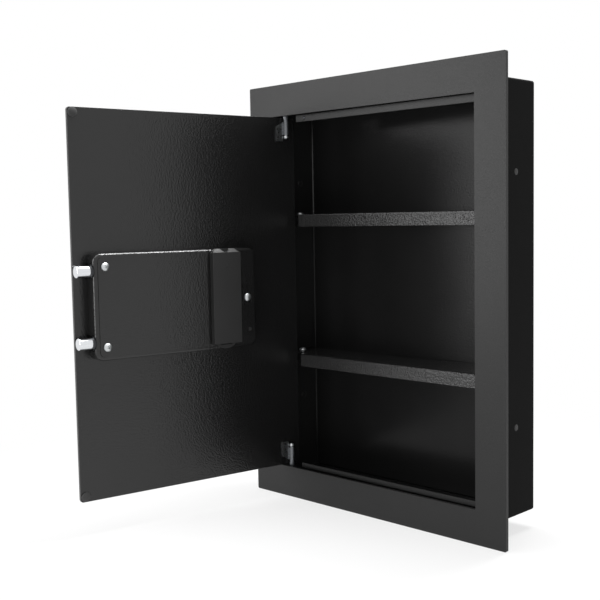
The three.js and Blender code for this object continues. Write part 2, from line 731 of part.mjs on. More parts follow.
// A steel block that guides one bolt. Its spigot and collar pass through the cover's side wall.
function makeBoltGuide(name, side) {
  const blockEnd = coverRight - coverSheet - seatGap;
  const top = coverInnerFace - seatGap;
  const middle = side * boltOffset;
  const across = [middle - guideBlockHeight / 2, middle + guideBlockHeight / 2];
  const body = join(
    block([blockEnd - guideBlockLength, blockEnd], [seatGap, top - coverEdgeBevel], across),
    block([blockEnd - guideBlockLength, blockEnd - coverEdgeBevel], [seatGap, top], across));
  const collarStart = coverRight + seatGap;
  const collarEnd = collarStart + guideCollarLength;
  const spigot = rod('x', guideSpigotRadius, blockEnd - 0.5, collarStart + 1, [boltDepth, middle], 24);
  const collar = rod('x', guideCollarRadius, collarStart, collarEnd, [boltDepth, middle], 24);
  const bore = rod(
    'x', boltRadius + runningGap, blockEnd - guideBlockLength - 1, collarEnd + 1, [boltDepth, middle], 24);
  const threadPlace = [coverRight - boltScrewInset, side * boltScrewOffset];
  const thread = rod('y', coverScrewRadius + seatGap, guideThreadEnd(), top + 1, threadPlace, 12);
  return piece(name, cut(join(body, spigot, collar), bore, thread), 'blackenedSteel');
}

// How deep a screw can go into a bolt guide before it would reach the bore.
function guideThreadEnd() {
  const boreRadius = boltRadius + runningGap;
  const fromBore = boltScrewOffset - boltOffset - coverScrewRadius - seatGap;
  return boltDepth + Math.sqrt(boreRadius ** 2 - fromBore ** 2) + seatGap;
}

// A live bolt: a chromed bar with an eased tip and a stub riveted through the carriage's bar.
function makeLiveBolt(name, side) {
  const start = carriageBarFront + seatGap;
  const shank = turned([
    [0, start],
    [boltRadius, start],
    [boltRadius, boltTip - boltTipBevel],
    [boltRadius - boltTipBevel, boltTip],
    [0, boltTip],
  ], 24).rotateZ(-Math.PI / 2);
  shank.translate(0, boltDepth, side * boltOffset);
  const stub = rod(
    'x', boltStubRadius, carriageBarBack - boltStubPastBar, start + 1, [boltDepth, side * boltOffset], 12);
  return piece(name, join(solidFrom(shank), stub), 'chromedSteel');
}

// The slot that a fixed stud needs in the carriage's plate over the whole throw.
function carriageSlot([across, height]) {
  const radius = carriageStudRadius + runningGap;
  const depth = [carriagePlateFace - 1, carriagePlateTopFace + 1];
  return join(
    rod('y', radius, ...depth, [across, height], 16),
    rod('y', radius, ...depth, [across - boltThrow, height], 16),
    block([across - boltThrow, across], depth, [height - radius, height + radius]));
}

function carriageStudPlaces() {
  return [[keyAcross, upperStudHeight], [lowerStudAcross, lowerStudHeight]];
}

// The straight teeth under the carriage's plate, with a gap between teeth over the pinion at rest.
function rackTooth(centre) {
  const pitchLine = rackRoot - 1.25 * toothModule;
  const halfAtPitch = Math.PI * toothModule / 4 - gearBacklash / 4;
  const slope = Math.tan(pressureAngle);
  const top = carriagePlateFace + 0.2;
  const halfAtTop = halfAtPitch + (top - pitchLine) * slope;
  const halfAtTip = halfAtPitch - rackAddendum * slope;
  return outline([
    [centre - halfAtTop, top],
    [centre - halfAtTip, pitchLine - rackAddendum],
    [centre + halfAtTip, pitchLine - rackAddendum],
    [centre + halfAtTop, top],
  ]);
}

// The carriage: a bar that carries both bolts and a plate with the rack, slots and key window.
function makeBoltCarriage() {
  const bar = block(
    [carriageBarBack, carriageBarFront], [boltDepth - boltRadius, carriagePlateTopFace],
    [-carriageBarLength / 2, carriageBarLength / 2]);
  const plate = block(
    [carriagePlateEnd, carriageBarBack + 1], [carriagePlateFace, carriagePlateTopFace],
    [carriagePlateBottom, carriagePlateTop]);
  const pitch = Math.PI * toothModule;
  const teeth = [];
  for (let i = 0; i < rackTeeth; i += 1) {
    const centre = pinionX + pitch * (1.5 - i);
    teeth.push(prism(
      rackTooth(centre), 'xy', pinionHeight - gearFaceWidth / 2, pinionHeight + gearFaceWidth / 2));
  }
  const stubHoles = [-boltOffset, boltOffset].map((height) => rod(
    'x', boltStubRadius + seatGap, carriageBarBack - 1, carriageBarFront + 1, [boltDepth, height], 12));
  const slots = carriageStudPlaces().map(carriageSlot);
  return piece('bolt_carriage', cut(join(bar, plate, ...teeth), ...stubHoles, ...slots, keyWindow()), 'zincedSteel');
}

// The window in the carriage that leaves room for the key cam's pin at every throw and turn.
function keyWindow() {
  return block(
    [keyWindowStart, keyAcross + keyWindowEnd], [carriagePlateFace - 1, carriagePlateTopFace + 1],
    [keyHeight - keyCamReach - keyCamPinRadius - seatGap, keyHeight + keyWindowEnd]);
}

// A shouldered stud on the door that the carriage slides along.
function makeCarriageStud(name, place) {
  const shoulder = rod('y', carriageStudShoulder, seatGap, carriagePlateFace - runningGap, place, 16);
  const neck = rod(
    'y', carriageStudRadius, carriagePlateFace - runningGap - 1, carriagePlateTopFace + carriageStudHead, place, 16);
  return piece(name, join(shoulder, neck), 'zincedSteel');
}

// The outline of a gear with involute flanks, one tooth pointing along +Y.
function gearOutline(teeth, tip) {
  const pitchRadius = toothModule * teeth / 2;
  const baseRadius = pitchRadius * Math.cos(pressureAngle);
  const rootRadius = pitchRadius - 1.25 * toothModule;
  const involute = (angle) => Math.tan(angle) - angle;
  const halfAtPitch = Math.PI / (2 * teeth) - gearBacklash / (4 * pitchRadius);
  const halfAt = (radius) => {
    const angle = Math.acos(Math.min(1, baseRadius / radius));
    return halfAtPitch + involute(pressureAngle) - involute(angle);
  };
  const radii = [rootRadius, baseRadius, (baseRadius + pitchRadius) / 2, pitchRadius, (pitchRadius + tip) / 2, tip];
  const points = [];
  for (let i = 0; i < teeth; i += 1) {
    const middle = Math.PI / 2 - (i * 2 * Math.PI) / teeth;
    radii.forEach((radius) => {
      const angle = middle + halfAt(Math.max(radius, baseRadius));
      points.push([radius * Math.cos(angle), radius * Math.sin(angle)]);
    });
    [...radii].reverse().forEach((radius) => {
      const angle = middle - halfAt(Math.max(radius, baseRadius));
      points.push([radius * Math.cos(angle), radius * Math.sin(angle)]);
    });
  }
  return points.reverse();
}

// The pinion on the motor's shaft, with the shaft that runs through the motor's bracket.
function makeDrivePinion() {
  const points = gearOutline(pinionTeeth, pinionTip).map(([x, y]) => [x + pinionX, y + pinionDepth]);
  const start = pinionHeight - gearFaceWidth / 2;
  const gear = prism(outline(points), 'xy', start, start + gearFaceWidth);
  const shaft = rod(
    'z', motorShaftRadius, motorFront() + seatGap, start + 1, [pinionX, pinionDepth], 12);
  return piece('drive_pinion', join(gear, shaft), 'brass');
}

function motorFront() {
  return pinionHeight - gearFaceWidth / 2 - 2 * runningGap - motorBracketSheet - seatGap;
}

// The gear motor lies along the bar: a round can with flats and a square gearbox at its front.
function makeGearMotor() {
  const front = motorFront();
  const depth = [pinionDepth - motorThickness / 2, pinionDepth + motorThickness / 2];
  const gearbox = block(
    [pinionX - motorWidth / 2, pinionX + motorWidth / 2], depth, [front - gearboxLength, front]);
  const canRound = rod(
    'z', motorWidth / 2, front - gearboxLength - motorLength, front - gearboxLength + 0.5, [pinionX, pinionDepth], 20);
  const can = canRound.intersect(block(
    [pinionX - motorWidth, pinionX + motorWidth], depth, [front - gearboxLength - motorLength - 1, front]));
  const bearing = rod('z', motorWidth / 5, front - gearboxLength - motorLength - 1.2, front - 1, [pinionX, pinionDepth], 12);
  return piece('gear_motor', join(gearbox, can, bearing), 'nickelPlate');
}

// The folded bracket that seats the motor on the door.
function makeMotorBracket() {
  const front = motorFront() + seatGap;
  const across = [
    pinionX - motorWidth / 2 - motorBracketOverhang, pinionX + motorWidth / 2 + motorBracketOverhang];
  const baseTop = pinionDepth - motorThickness / 2 - seatGap;
  const base = block(across, [seatGap, baseTop], [front - motorBracketLength, front + motorBracketSheet]);
  const upright = block(across, [seatGap, pinionDepth + motorThickness / 2], [front, front + motorBracketSheet]);
  const hole = rod(
    'z', motorShaftRadius + runningGap, front - 1, front + motorBracketSheet + 1, [pinionX, pinionDepth], 12);
  return piece('motor_bracket', cut(join(base, upright), hole), 'zincedSteel');
}

// The fixed shell of the key lock, from its flange on the reader to its nose behind the door.
function makeKeyShell() {
  const place = [keyAcross, keyHeight];
  const front = keyFlangeFront();
  const shell = rod('y', keyShellRadius, front, keyShellDepth, place, 24);
  const flange = rod('y', keyFlangeRadius, front, front + keyFlangeThickness, place, 24);
  const bore = rod('y', keyPlugRadius + runningGap, front - 1, keyShellDepth + 1, place, 20);
  return piece('key_shell', cut(join(shell, flange), bore), 'nickelPlate');
}

function readerFront() {
  return -doorThickness - seatGap - readerDepth;
}

function keyFlangeFront() {
  return readerFront() + seatGap;
}

// The plug that the key turns, with its keyway.
function makeKeyPlug() {
  const place = [keyAcross, keyHeight];
  const front = keyFlangeFront();
  const plug = rod('y', keyPlugRadius, front, keyShellDepth, place, 20);
  const keyway = block(
    [keyAcross - keywayWidth / 2, keyAcross + keywayWidth / 2], [front - 1, front + keywayDepth],
    [keyHeight - keywayHeight / 2, keyHeight + keywayHeight / 2]);
  return piece('key_plug', cut(plug, keyway), 'nickelPlate');
}

// The cam on the plug's inner end, whose pin reaches into the carriage's window.
function makeKeyCam() {
  const start = keyShellDepth + runningGap;
  const hub = rod('y', keyPlugRadius, start, start + keyCamThickness, [keyAcross, keyHeight], 20);
  const pinPlace = [keyAcross, keyHeight - keyCamReach];
  const end = rod('y', keyCamPinRadius + 1.5, start, start + keyCamThickness, pinPlace, 16);
  const arm = block(
    [keyAcross - keyCamPinRadius - 1.5, keyAcross + keyCamPinRadius + 1.5], [start, start + keyCamThickness],
    [keyHeight - keyCamReach, keyHeight]);
  const pin = rod('y', keyCamPinRadius, start, carriagePlateTopFace, pinPlace, 12);
  return piece('key_cam', join(hub, end, arm, pin), 'zincedSteel');
}

// The moulded reader on the door's front, with pockets for the sensor, lights and key lock.
function makeReaderHousing() {
  const front = readerFront();
  const back = front + readerDepth;
  const shape = centredRectangle(readerWidth, readerHeight, readerCornerRadius, keyAcross, readerCentreHeight);
  const body = easedSlab(shape, front, back, readerEdgeBevel, 2, 5);
  const pocket = prism(
    centredRectangle(sensorPocketWidth, sensorPocketHeight, sensorPocketRadius, keyAcross, sensorHeight),
    'xz', front - 1, front + sensorPocketDepth, 5);
  const ribbonHole = prism(
    centredRectangle(ribbonHoleWidth, ribbonHoleHeight, 2, keyAcross, sensorHeight), 'xz', front, back + 1, 2);
  const lockHole = rod('y', keyShellRadius + seatGap, front - 1, back + 1, [keyAcross, keyHeight], 24);
  const flangePocket = rod(
    'y', keyFlangeRadius + seatGap, front - 1, front + keyFlangeThickness + 2 * seatGap, [keyAcross, keyHeight], 24);
  const light = rod('y', lightRadius + seatGap, front - 1, front + lightLength, [keyAcross, lightHeight], 12);
  const pivot = rod(
    'y', capPivotRadius + runningGap, front - 1, front + capPivotLength + runningGap,
    [keyAcross, capPivotHeight], 12);
  return piece(
    'reader_housing', cut(body, pocket, ribbonHole, lockHole, flangePocket, pivot, light), 'blackPlastic');
}

function makeSensorWindow() {
  const floor = readerFront() + sensorPocketDepth - seatGap;
  const shape = centredRectangle(sensorWidth, sensorLength, 2.5, keyAcross, sensorHeight);
  return piece('sensor_window', prism(shape, 'xz', floor - sensorThickness, floor, 3), 'darkGlass');
}

function makeStatusLight() {
  const back = readerFront() + lightLength - seatGap;
  const lens = rod('y', lightRadius, readerFront() - lightStandProud, back, [keyAcross, lightHeight], 12);
  return piece('status_light', lens, 'greenLens');
}

// The round cap that swings aside on its pivot to bare the keyhole.
function makeKeyCap() {
  const back = readerFront() - runningGap;
  const pivotPlace = [keyAcross, capPivotHeight];
  const disc = rod('y', capRadius, back - capThickness, back, [keyAcross, keyHeight], 28);
  const ear = rod('y', capPivotRadius + 2.5, back - capThickness, back, pivotPlace, 16);
  const pivot = rod('y', capPivotRadius, back - 0.5, readerFront() + capPivotLength, pivotPlace, 12);
  return piece('key_cap', join(disc, ear, pivot), 'blackPlastic');
}

// The circuit board on its four posts, with its main chip and two plugs.
function makeCircuitBoard() {
  const left = boardAcross - boardWidth / 2;
  const right = boardAcross + boardWidth / 2;
  const under = seatGap + boardStandOff;
  const face = under + boardThickness;
  const board = block([left, right], [under, face], [-boardHeight / 2, boardHeight / 2]);
  const posts = [left + boardPostInset, right - boardPostInset].flatMap((across) => (
    [-1, 1].map((side) => rod(
      'y', boardPostRadius, seatGap, under + 0.5, [across, side * (boardHeight / 2 - boardPostInset)], 8))));
  const chip = block(
    [boardAcross - boardChipSize / 2, boardAcross + boardChipSize / 2], [face - 0.5, face + boardChipHeight],
    [-boardChipSize / 2, boardChipSize / 2]);
  const plugs = [-1, 1].map((side) => block(
    [boardAcross - boardPlugWidth / 2, boardAcross + boardPlugWidth / 2], [face - 0.5, face + boardPlugHeight],
    heights(side, boardHeight / 3 - boardPlugLength / 2, boardHeight / 3 + boardPlugLength / 2)));
  return piece('circuit_board', join(board, ...posts, chip, ...plugs), 'greenBoard');
}

function trayFloor() {
  return coverDepth + trayRimProud - traySheet - 2 * cellRadius - seatGap - 0.5;
}

// The open tray that holds the cells and hangs in the cover's window by its rims.
function makeBatteryTray() {
  const halfWidth = trayInnerWidth / 2;
  const halfLength = trayInnerLength / 2;
  const rimTop = coverDepth + trayRimProud;
  const outer = block(
    [batteryAcross - trayHalfWidth, batteryAcross + trayHalfWidth], [trayFloor(), rimTop],
    [batteryHeight - trayHalfLength, batteryHeight + trayHalfLength]);
  const hollow = block(
    [batteryAcross - halfWidth, batteryAcross + halfWidth], [trayFloor() + traySheet, rimTop + 1],
    [batteryHeight - halfLength, batteryHeight + halfLength]);
  const rimHalf = trayHalfWidth + trayRimLip;
  const rim = block(
    [batteryAcross - rimHalf, batteryAcross + rimHalf],
    [coverDepth + seatGap, coverDepth + seatGap + trayRimThickness],
    [batteryHeight - halfLength, batteryHeight + halfLength]);
  return piece('battery_tray', cut(join(outer, rim), hollow), 'blackPlastic');
}

// One cell, with its nub up or down. column is -1 or 1 and row is 0 below or 1 above.
function makeCell(name, column, row, nubSide) {
  const centre = [batteryAcross + column * cellPitch / 2, trayFloor() + traySheet + seatGap + cellRadius];
  const whole = cellLength + cellNubLength;
  const bottom = batteryHeight + (row ? seatGap / 2 : -seatGap / 2 - whole);
  const canBottom = nubSide > 0 ? bottom : bottom + cellNubLength;
  const can = rod('z', cellRadius, canBottom, canBottom + cellLength, centre, 20);
  const nub = nubSide > 0
    ? rod('z', cellNubRadius, canBottom + cellLength - 1, bottom + whole, centre, 12)
    : rod('z', cellNubRadius, bottom, canBottom + 1, centre, 12);
  return piece(name, join(can, nub), 'cellWrap');
}

// The contact plate at one end of the tray.
function makeContact(name, side) {
  const wall = trayInnerLength / 2 - seatGap;
  const middle = trayFloor() + traySheet + seatGap + cellRadius;
  const [low, high] = heights(side, wall - contactThickness, wall);
  const half = trayInnerWidth / 2 - contactEdge;
  return piece(name, block(
    [batteryAcross - half, batteryAcross + half],
    [middle - contactHeight / 2, middle + contactHeight / 2], [batteryHeight + low, batteryHeight + high]), 'nickelPlate');
}

// The lid: a shallow cap with a sloped thumb catch at its top and a round lip at its foot.
function makeBatteryLid() {
  const seat = coverDepth + seatGap;
  const face = seat + lidProud;
  const top = batteryHeight + lidHeight / 2;
  const bottom = batteryHeight - lidHeight / 2;
  const shape = centredRectangle(lidWidth, lidHeight, lidCornerRadius, batteryAcross, batteryHeight);
  const cap = easedSlab(shape, face, seat, lidCornerRadius / 2, 1, 2);
  const hollow = block(
    [batteryAcross - lidWidth / 2 + lidWall, batteryAcross + lidWidth / 2 - lidWall], [seat - 1, face - lidSheet],
    [bottom + lidWall, top - lidWall]);
  const catchBase = prism(outline([
    [seat, top - 1],
    [face - lidCornerRadius, top - 1],
    [face - lidCornerRadius, top - 0.2],
    [seat + lidSlopeFoot, top + lidSlopeLength],
    [seat, top + lidSlopeLength],
  ]), 'yz', batteryAcross - lidWidth / 2 + lidCornerRadius, batteryAcross + lidWidth / 2 - lidCornerRadius);
  const catchPlan = prism(outline([
    [batteryAcross - lidWidth / 2, top - 2],
    [batteryAcross + lidWidth / 2, top - 2],
    [batteryAcross + lidWidth / 2 - 1, top],
    [batteryAcross + lidSlopeTopWidth / 2, top + lidSlopeLength + 1],
    [batteryAcross - lidSlopeTopWidth / 2, top + lidSlopeLength + 1],
    [batteryAcross - lidWidth / 2 + 1, top],
  ]), 'xz', seat - 1, face);
  const thumbNotch = rod(
    'y', thumbNotchRadius, seat + lidSlopeFoot, face, [batteryAcross, top + thumbNotchRadius], 20);
  const lipRadius = (lidLipWidth ** 2 / 4 + lidLipLength ** 2) / (2 * lidLipLength);
  const lipDisc = rod(
    'y', lipRadius, seat, seat + lidLipThickness, [batteryAcross, bottom - lidLipLength + lipRadius], 48);
  const lip = lipDisc.intersect(block(
    [batteryAcross - lidWidth / 2, batteryAcross + lidWidth / 2], [seat - 1, face], [bottom - lidLipLength - 1, bottom + 1]));
  const thumbCatch = cut(catchBase.intersect(catchPlan), thumbNotch);
  return piece('battery_lid', join(cut(cap, hollow), thumbCatch, lip), 'blackPlastic');
}

// The programming button, held behind the cover by its flange.
function makeProgramButton() {
  const place = [buttonAcross, buttonHeight];
  const tip = coverDepth + buttonProud;
  const stem = rod('y', buttonRadius, tip - buttonLength, tip, place, 16);
  const flangeTop = coverInnerFace - seatGap;
  const flange = rod('y', buttonFlangeRadius, flangeTop - buttonFlangeThickness, flangeTop, place, 16);
  return piece('program_button', join(stem, flange), 'blackPlastic');
}

// The switch under the button, on its own post.
function makeProgramSwitch() {
  const top = coverDepth + buttonProud - buttonLength - buttonTravel - runningGap;
  const half = switchSize / 2;
  return piece('program_switch', block(
    [buttonAcross - half, buttonAcross + half], [seatGap, top], [buttonHeight - half, buttonHeight + half]), 'blackPlastic');
}

// The flat ribbon from the sensor through the door to the circuit board.
function makeReaderRibbon() {
  const start = readerFront() + sensorPocketDepth;
  const turn = seatGap + 2.5;
  const left = boardAcross + boardWidth / 2 + seatGap;
  const lift = seatGap + boardStandOff + boardThickness;
  const strip = outline([
    [keyAcross + ribbonThickness / 2, start],
    [keyAcross + ribbonThickness / 2, turn + ribbonThickness],
    [left + ribbonThickness, turn + ribbonThickness],
    [left + ribbonThickness, lift],
    [left, lift],
    [left, turn],
    [keyAcross - ribbonThickness / 2, turn],
    [keyAcross - ribbonThickness / 2, start],
  ]);
  const edges = [sensorHeight - ribbonHalfWidth, sensorHeight + ribbonHalfWidth];
  return piece('reader_ribbon', prism(strip, 'xy', ...edges), 'greyCable');
}

// A round lead swept along a curve.
function makeLead(name, points) {
  const curve = new THREE.CatmullRomCurve3(points.map(([x, y, z]) => new THREE.Vector3(x, y, z)));
  const section = new THREE.Shape();
  for (let i = 0; i < leadSides; i += 1) {
    const angle = (i / leadSides) * 2 * Math.PI;
    const place = [leadRadius * Math.cos(angle), leadRadius * Math.sin(angle)];
    if (i) section.lineTo(...place);
    else section.moveTo(...place);
  }
  section.closePath();
  const geometry = new THREE.ExtrudeGeometry(section, { steps: leadSteps, bevelEnabled: false, extrudePath: curve });
  return piece(name, solidFrom(geometry), 'greyCable');
}

function makeBatteryLead() {
  const trayEdge = batteryAcross + trayHalfWidth + seatGap;
  const boardEdge = boardAcross - boardWidth / 2 - seatGap;
  const height = boardHeight / 3;
  const depth = seatGap + boardStandOff + boardThickness / 2;
  return makeLead('battery_lead', [
    [trayEdge, trayFloor() + 3, height + 6],
    [trayEdge + 3, trayFloor() + 3, height + 6],
    [boardEdge - 3, depth, height],
    [boardEdge, depth, height],
  ]);
}

function makeMotorLead() {
  const motorEnd = motorFront() - gearboxLength - motorLength - 1.2 - seatGap;
  const lowest = Math.min(motorEnd, keyHeight - keyShellRadius, lowerStudHeight - carriageStudShoulder);
  const lowRun = lowest - leadRadius - 2.9;
  const boardEdge = boardAcross + boardWidth / 2 + 2 * seatGap;
  const depth = seatGap + boardStandOff + boardThickness / 2;
  return makeLead('motor_lead', [
    [pinionX, pinionDepth, motorEnd],
    [pinionX, pinionDepth, motorEnd - 3],
    [pinionX - 6, pinionDepth - 3, lowRun],
    [keyAcross + 8, leadRadius + 2 * seatGap, lowRun],
    [boardEdge + 5, depth, lowRun + 12],
    [boardEdge, depth, lowRun + 14],
  ]);
}

const cabinet = new THREE.Group();
cabinet.add(makeWallFlange(), makeBodySleeve(), makeBackPan());
cabinet.add(
  makeDoorStop('door_stop_top', 1, topStopOverlap), makeDoorStop('door_stop_bottom', -1, bottomStopOverlap));
cabinet.add(makeHingeBracket('hinge_bracket_top', 1), makeHingeBracket('hinge_bracket_bottom', -1));
cabinet.add(makeHingePin('hinge_pin_top', 1), makeHingePin('hinge_pin_bottom', -1));
for (const [level, top] of [['upper', upperShelfTop], ['lower', lowerShelfTop]]) {
  cabinet.add(makeShelf(`${level}_shelf`, top));
  for (const [hand, sign] of [['left', -1], ['right', 1]]) {
    cabinet.add(makeShelfBracket(`${level}_shelf_bracket_${hand}`, top, sign));
    cabinet.add(makeShelfScrew(`${level}_shelf_screw_${hand}`, top, sign));
  }
}

const doorLeaf = new THREE.Group();
doorLeaf.add(makeDoorPanel());
doorLeaf.add(makeHingeLeaf('hinge_leaf_top', 1), makeHingeLeaf('hinge_leaf_bottom', -1));
doorLeaf.add(makeBumperPad('bumper_pad_top', 1), makeBumperPad('bumper_pad_bottom', -1));
doorLeaf.add(makeLockCover(), makeCoverPost());
const guideScrewTip = guideThreadEnd() + seatGap;
const postScrewTip = coverInnerFace - coverPostThread + seatGap;
coverScrewPlaces().forEach((place, i) => {
  doorLeaf.add(makeCoverScrew(`cover_screw_${i + 1}`, place, i < 2 ? guideScrewTip : postScrewTip));
});
doorLeaf.add(makeBoltGuide('bolt_guide_upper', 1), makeBoltGuide('bolt_guide_lower', -1));
doorLeaf.add(makeLiveBolt('live_bolt_upper', 1), makeLiveBolt('live_bolt_lower', -1));
doorLeaf.add(makeBoltCarriage());
carriageStudPlaces().forEach((place, i) => doorLeaf.add(makeCarriageStud(`carriage_stud_${i + 1}`, place)));
doorLeaf.add(makeGearMotor(), makeMotorBracket(), makeDrivePinion());
doorLeaf.add(makeKeyShell(), makeKeyPlug(), makeKeyCam(), makeKeyCap());
doorLeaf.add(makeReaderHousing(), makeSensorWindow(), makeStatusLight());
doorLeaf.add(makeCircuitBoard(), makeReaderRibbon(), makeBatteryLead(), makeMotorLead());
doorLeaf.add(makeBatteryTray(), makeContact('battery_contact_top', 1), makeContact('battery_contact_bottom', -1));
doorLeaf.add(makeCell('battery_cell_1', -1, 0, 1), makeCell('battery_cell_2', -1, 1, 1));
doorLeaf.add(makeCell('battery_cell_3', 1, 0, -1), makeCell('battery_cell_4', 1, 1, -1));
doorLeaf.add(makeBatteryLid(), makeProgramButton(), makeProgramSwitch());

// The door turns about the hinge pins, and its own origin is the middle of its inner face.
const door = new THREE.Group();
door.position.set(hingeX, hingeY, 0);
door.rotation.z = -openAngle;
doorLeaf.position.set(-hingeX, doorInnerY - hingeY, 0);
door.add(doorLeaf);

const safe = new THREE.Group();
safe.add(cabinet, door);

export default safe;
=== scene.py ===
"""Dresses a biometric wall safe: its sheet metal, lock, hinges, reader and finishes, and its studio.

Metres, +Z up, +Y into the wall. Pieces of the door are modelled as if the door's inner face were the plane
Y = 0 with X across the door, and are then placed with the door open.
"""

import json
import math

import bmesh
import bpy
from mathutils import Matrix, Vector

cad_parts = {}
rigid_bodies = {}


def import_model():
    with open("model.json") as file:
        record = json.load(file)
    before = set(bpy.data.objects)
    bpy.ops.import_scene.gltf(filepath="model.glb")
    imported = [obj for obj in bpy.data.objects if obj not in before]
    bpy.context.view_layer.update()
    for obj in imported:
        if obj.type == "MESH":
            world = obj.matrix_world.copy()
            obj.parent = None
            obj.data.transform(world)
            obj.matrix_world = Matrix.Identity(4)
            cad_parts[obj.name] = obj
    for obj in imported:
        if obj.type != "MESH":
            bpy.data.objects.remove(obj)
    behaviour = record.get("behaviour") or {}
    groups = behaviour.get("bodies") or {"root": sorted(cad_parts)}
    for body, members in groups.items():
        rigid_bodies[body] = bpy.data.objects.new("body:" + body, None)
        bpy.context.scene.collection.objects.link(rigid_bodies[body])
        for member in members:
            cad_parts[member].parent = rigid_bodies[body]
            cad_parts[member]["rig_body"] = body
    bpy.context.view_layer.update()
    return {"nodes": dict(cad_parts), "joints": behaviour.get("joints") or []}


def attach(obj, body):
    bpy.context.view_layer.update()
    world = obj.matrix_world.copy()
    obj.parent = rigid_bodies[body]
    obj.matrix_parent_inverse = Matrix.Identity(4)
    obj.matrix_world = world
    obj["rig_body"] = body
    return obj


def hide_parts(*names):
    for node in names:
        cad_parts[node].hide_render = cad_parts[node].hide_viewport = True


bl_info = {
    "name": "Wall safe",
    "version": (1, 0, 0),
    "blender": (4, 5, 0),
    "location": "3D View > Sidebar > Wall Safe",
    "description": "Models and finishes a biometric wall safe round its measured frame",
    "category": "Object",
}

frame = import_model()

MM = 0.001
X, Y, Z = 0, 1, 2

# Corners this close are in one place. Merging is finer, and coarser on a carried-over solid
SAME_PLACE = 1e-6
MERGE_REACH = 1e-7
SOLID_MERGE_REACH = 2e-6
# The share of its length by which an edge runs along an axis, and by which a face's normal points up
ALONG_SHARE = 0.999
UP_SHARE = 0.9
# Faces of a carried-over solid that turn by less than this are one flat face
FLAT_ANGLE = math.radians(0.5)

# Fits between the pieces
SEAT_GAP = 0.3 * MM
DOOR_SIDE_GAP = 2 * MM
DOOR_END_GAP = 1.5 * MM
DOOR_FACE = 1 * MM
# How far a cutter runs past the face that it goes through, and into a sheet behind it
PAST = 1 * MM
CUTTER_DEPTH = 3 * MM

# Steps of round shapes
ROUND_STEPS = 64
SMALL_ROUND_STEPS = 32
DOME_STEPS = 10
FOLD_STEPS = 6
BEAD_STEPS = 6
PIN_HEAD_STEPS = 12
EASING_STEPS = 2

# Faces that meet at more than this many degrees keep a crisp edge between them
CRISP_ANGLE = 30
BEAD_CRISP_ANGLE = 40
ELECTRONICS_CRISP_ANGLE = 50

# Eased edges of the small pieces
FINE_EDGE = 0.1 * MM
SCREW_EDGE = 0.12 * MM
MACHINED_EDGE = 0.15 * MM
SOFT_EDGE = 0.2 * MM
GLASS_EDGE = 0.25 * MM
CELL_EDGE = 0.3 * MM

# Sheet metal and its folds
SHEET = 1.5 * MM
FOLD_RADIUS = 1.5 * MM
FLANGE_CORNER = 2 * MM
FLANGE_END_EASING = 1.2 * MM
BODY_CORNER = 3 * MM
BODY_REAR_CURL = 3 * MM
PAN_FOLD_RADIUS = 2 * MM
STUD_HOLE_RADIUS = 4 * MM
STUD_HOLE_DEPTH = 58 * MM
STUD_HOLE_HEIGHT = 144 * MM
SHELF_LIP = 16 * MM
SHELF_REAR_LIP = 10 * MM
SHELF_NOTCH_EDGE = -128 * MM
SHELF_NOTCH_BACK = 27.4 * MM
SHELF_BRACKET_CORNER = 3 * MM
BRACKET_LEG = 2 * MM
BRACKET_TAB = 3 * MM
BRACKET_CORNER = 4 * MM
BRACKET_PAST_PIN = 0.7 * MM

# Sealant beads, hole plugs and the stop's rivet. A crown is given in shares of its radius and height
BEAD_RADIUS = 2.2 * MM
BEAD_END_GAP = 1 * MM
PLUG_HEAD_RADIUS = 4.6 * MM
PLUG_HEAD_HEIGHT = 0.9 * MM
PLUG_CROWN = ((0, 0.45), (0.5, 0.6), (0.75, 1))
PLUG_STEM_RADIUS = 3.8 * MM
PLUG_EDGE = 0.2 * MM
RIVET_PLACE = 14.6 * MM
RIVET_RADIUS = 2.2 * MM
RIVET_HEIGHT = 0.6 * MM
RIVET_CROWN = ((0, 0.5), (0.45, 0.7), (0.55, 1))
RIVET_FACE_SHARE = 0.8
RIVET_EDGE = 0.1 * MM
RIVET_ROOT = 0.5 * MM

# Turned and fastening pieces. A screw's shares are of its head's radius and height, of its shank's radius
# and of its recess's reach, and its recess is turned in radians
SHELF_SCREW_HEAD = 3.2 * MM
SHELF_SCREW_SHANK = 2 * MM
COVER_SCREW_HEAD = 2.8 * MM
COVER_SCREW_SHANK = 1.6 * MM
SCREW_TIP = 0.8 * MM
SCREW_TIP_SHARE = 0.6
SCREW_RIM = 0.25 * MM
SCREW_SEAT_SHARE = 0.94
RECESS_REACH_SHARE = 0.52
RECESS_DEPTH_SHARE = 0.55
RECESS_SLOT_SHARE = 0.24
RECESS_TAPER = (0.45, 0.8, 1)
RECESS_TURN = 0.4
HINGE_PIN_RADIUS = 2 * MM
HINGE_PIN_HEAD_LENGTH = 5.2 * MM
HINGE_PIN_NECK = 0.2 * MM
HINGE_PIN_TAIL_LENGTH = 1.2 * MM
HINGE_PIN_TAIL_STEP = 0.1 * MM
HINGE_PIN_TAIL_RIM = 0.5 * MM
HINGE_PIN_TAIL_SHARE = 0.6
BOLT_RADIUS = 7 * MM
BOLT_STUB_RADIUS = 3 * MM
BOLT_STUB_LENGTH = 5.8 * MM
GUIDE_BLOCK_LENGTH = 18.2 * MM
GUIDE_BLOCK_CHAMFER = 2.5 * MM
GUIDE_SPIGOT_RADIUS = 8.6 * MM
GUIDE_COLLAR_RADIUS = 9.3 * MM
GUIDE_COLLAR_LENGTH = 1.5 * MM
GUIDE_COLLAR_CHAMFER = 0.5 * MM

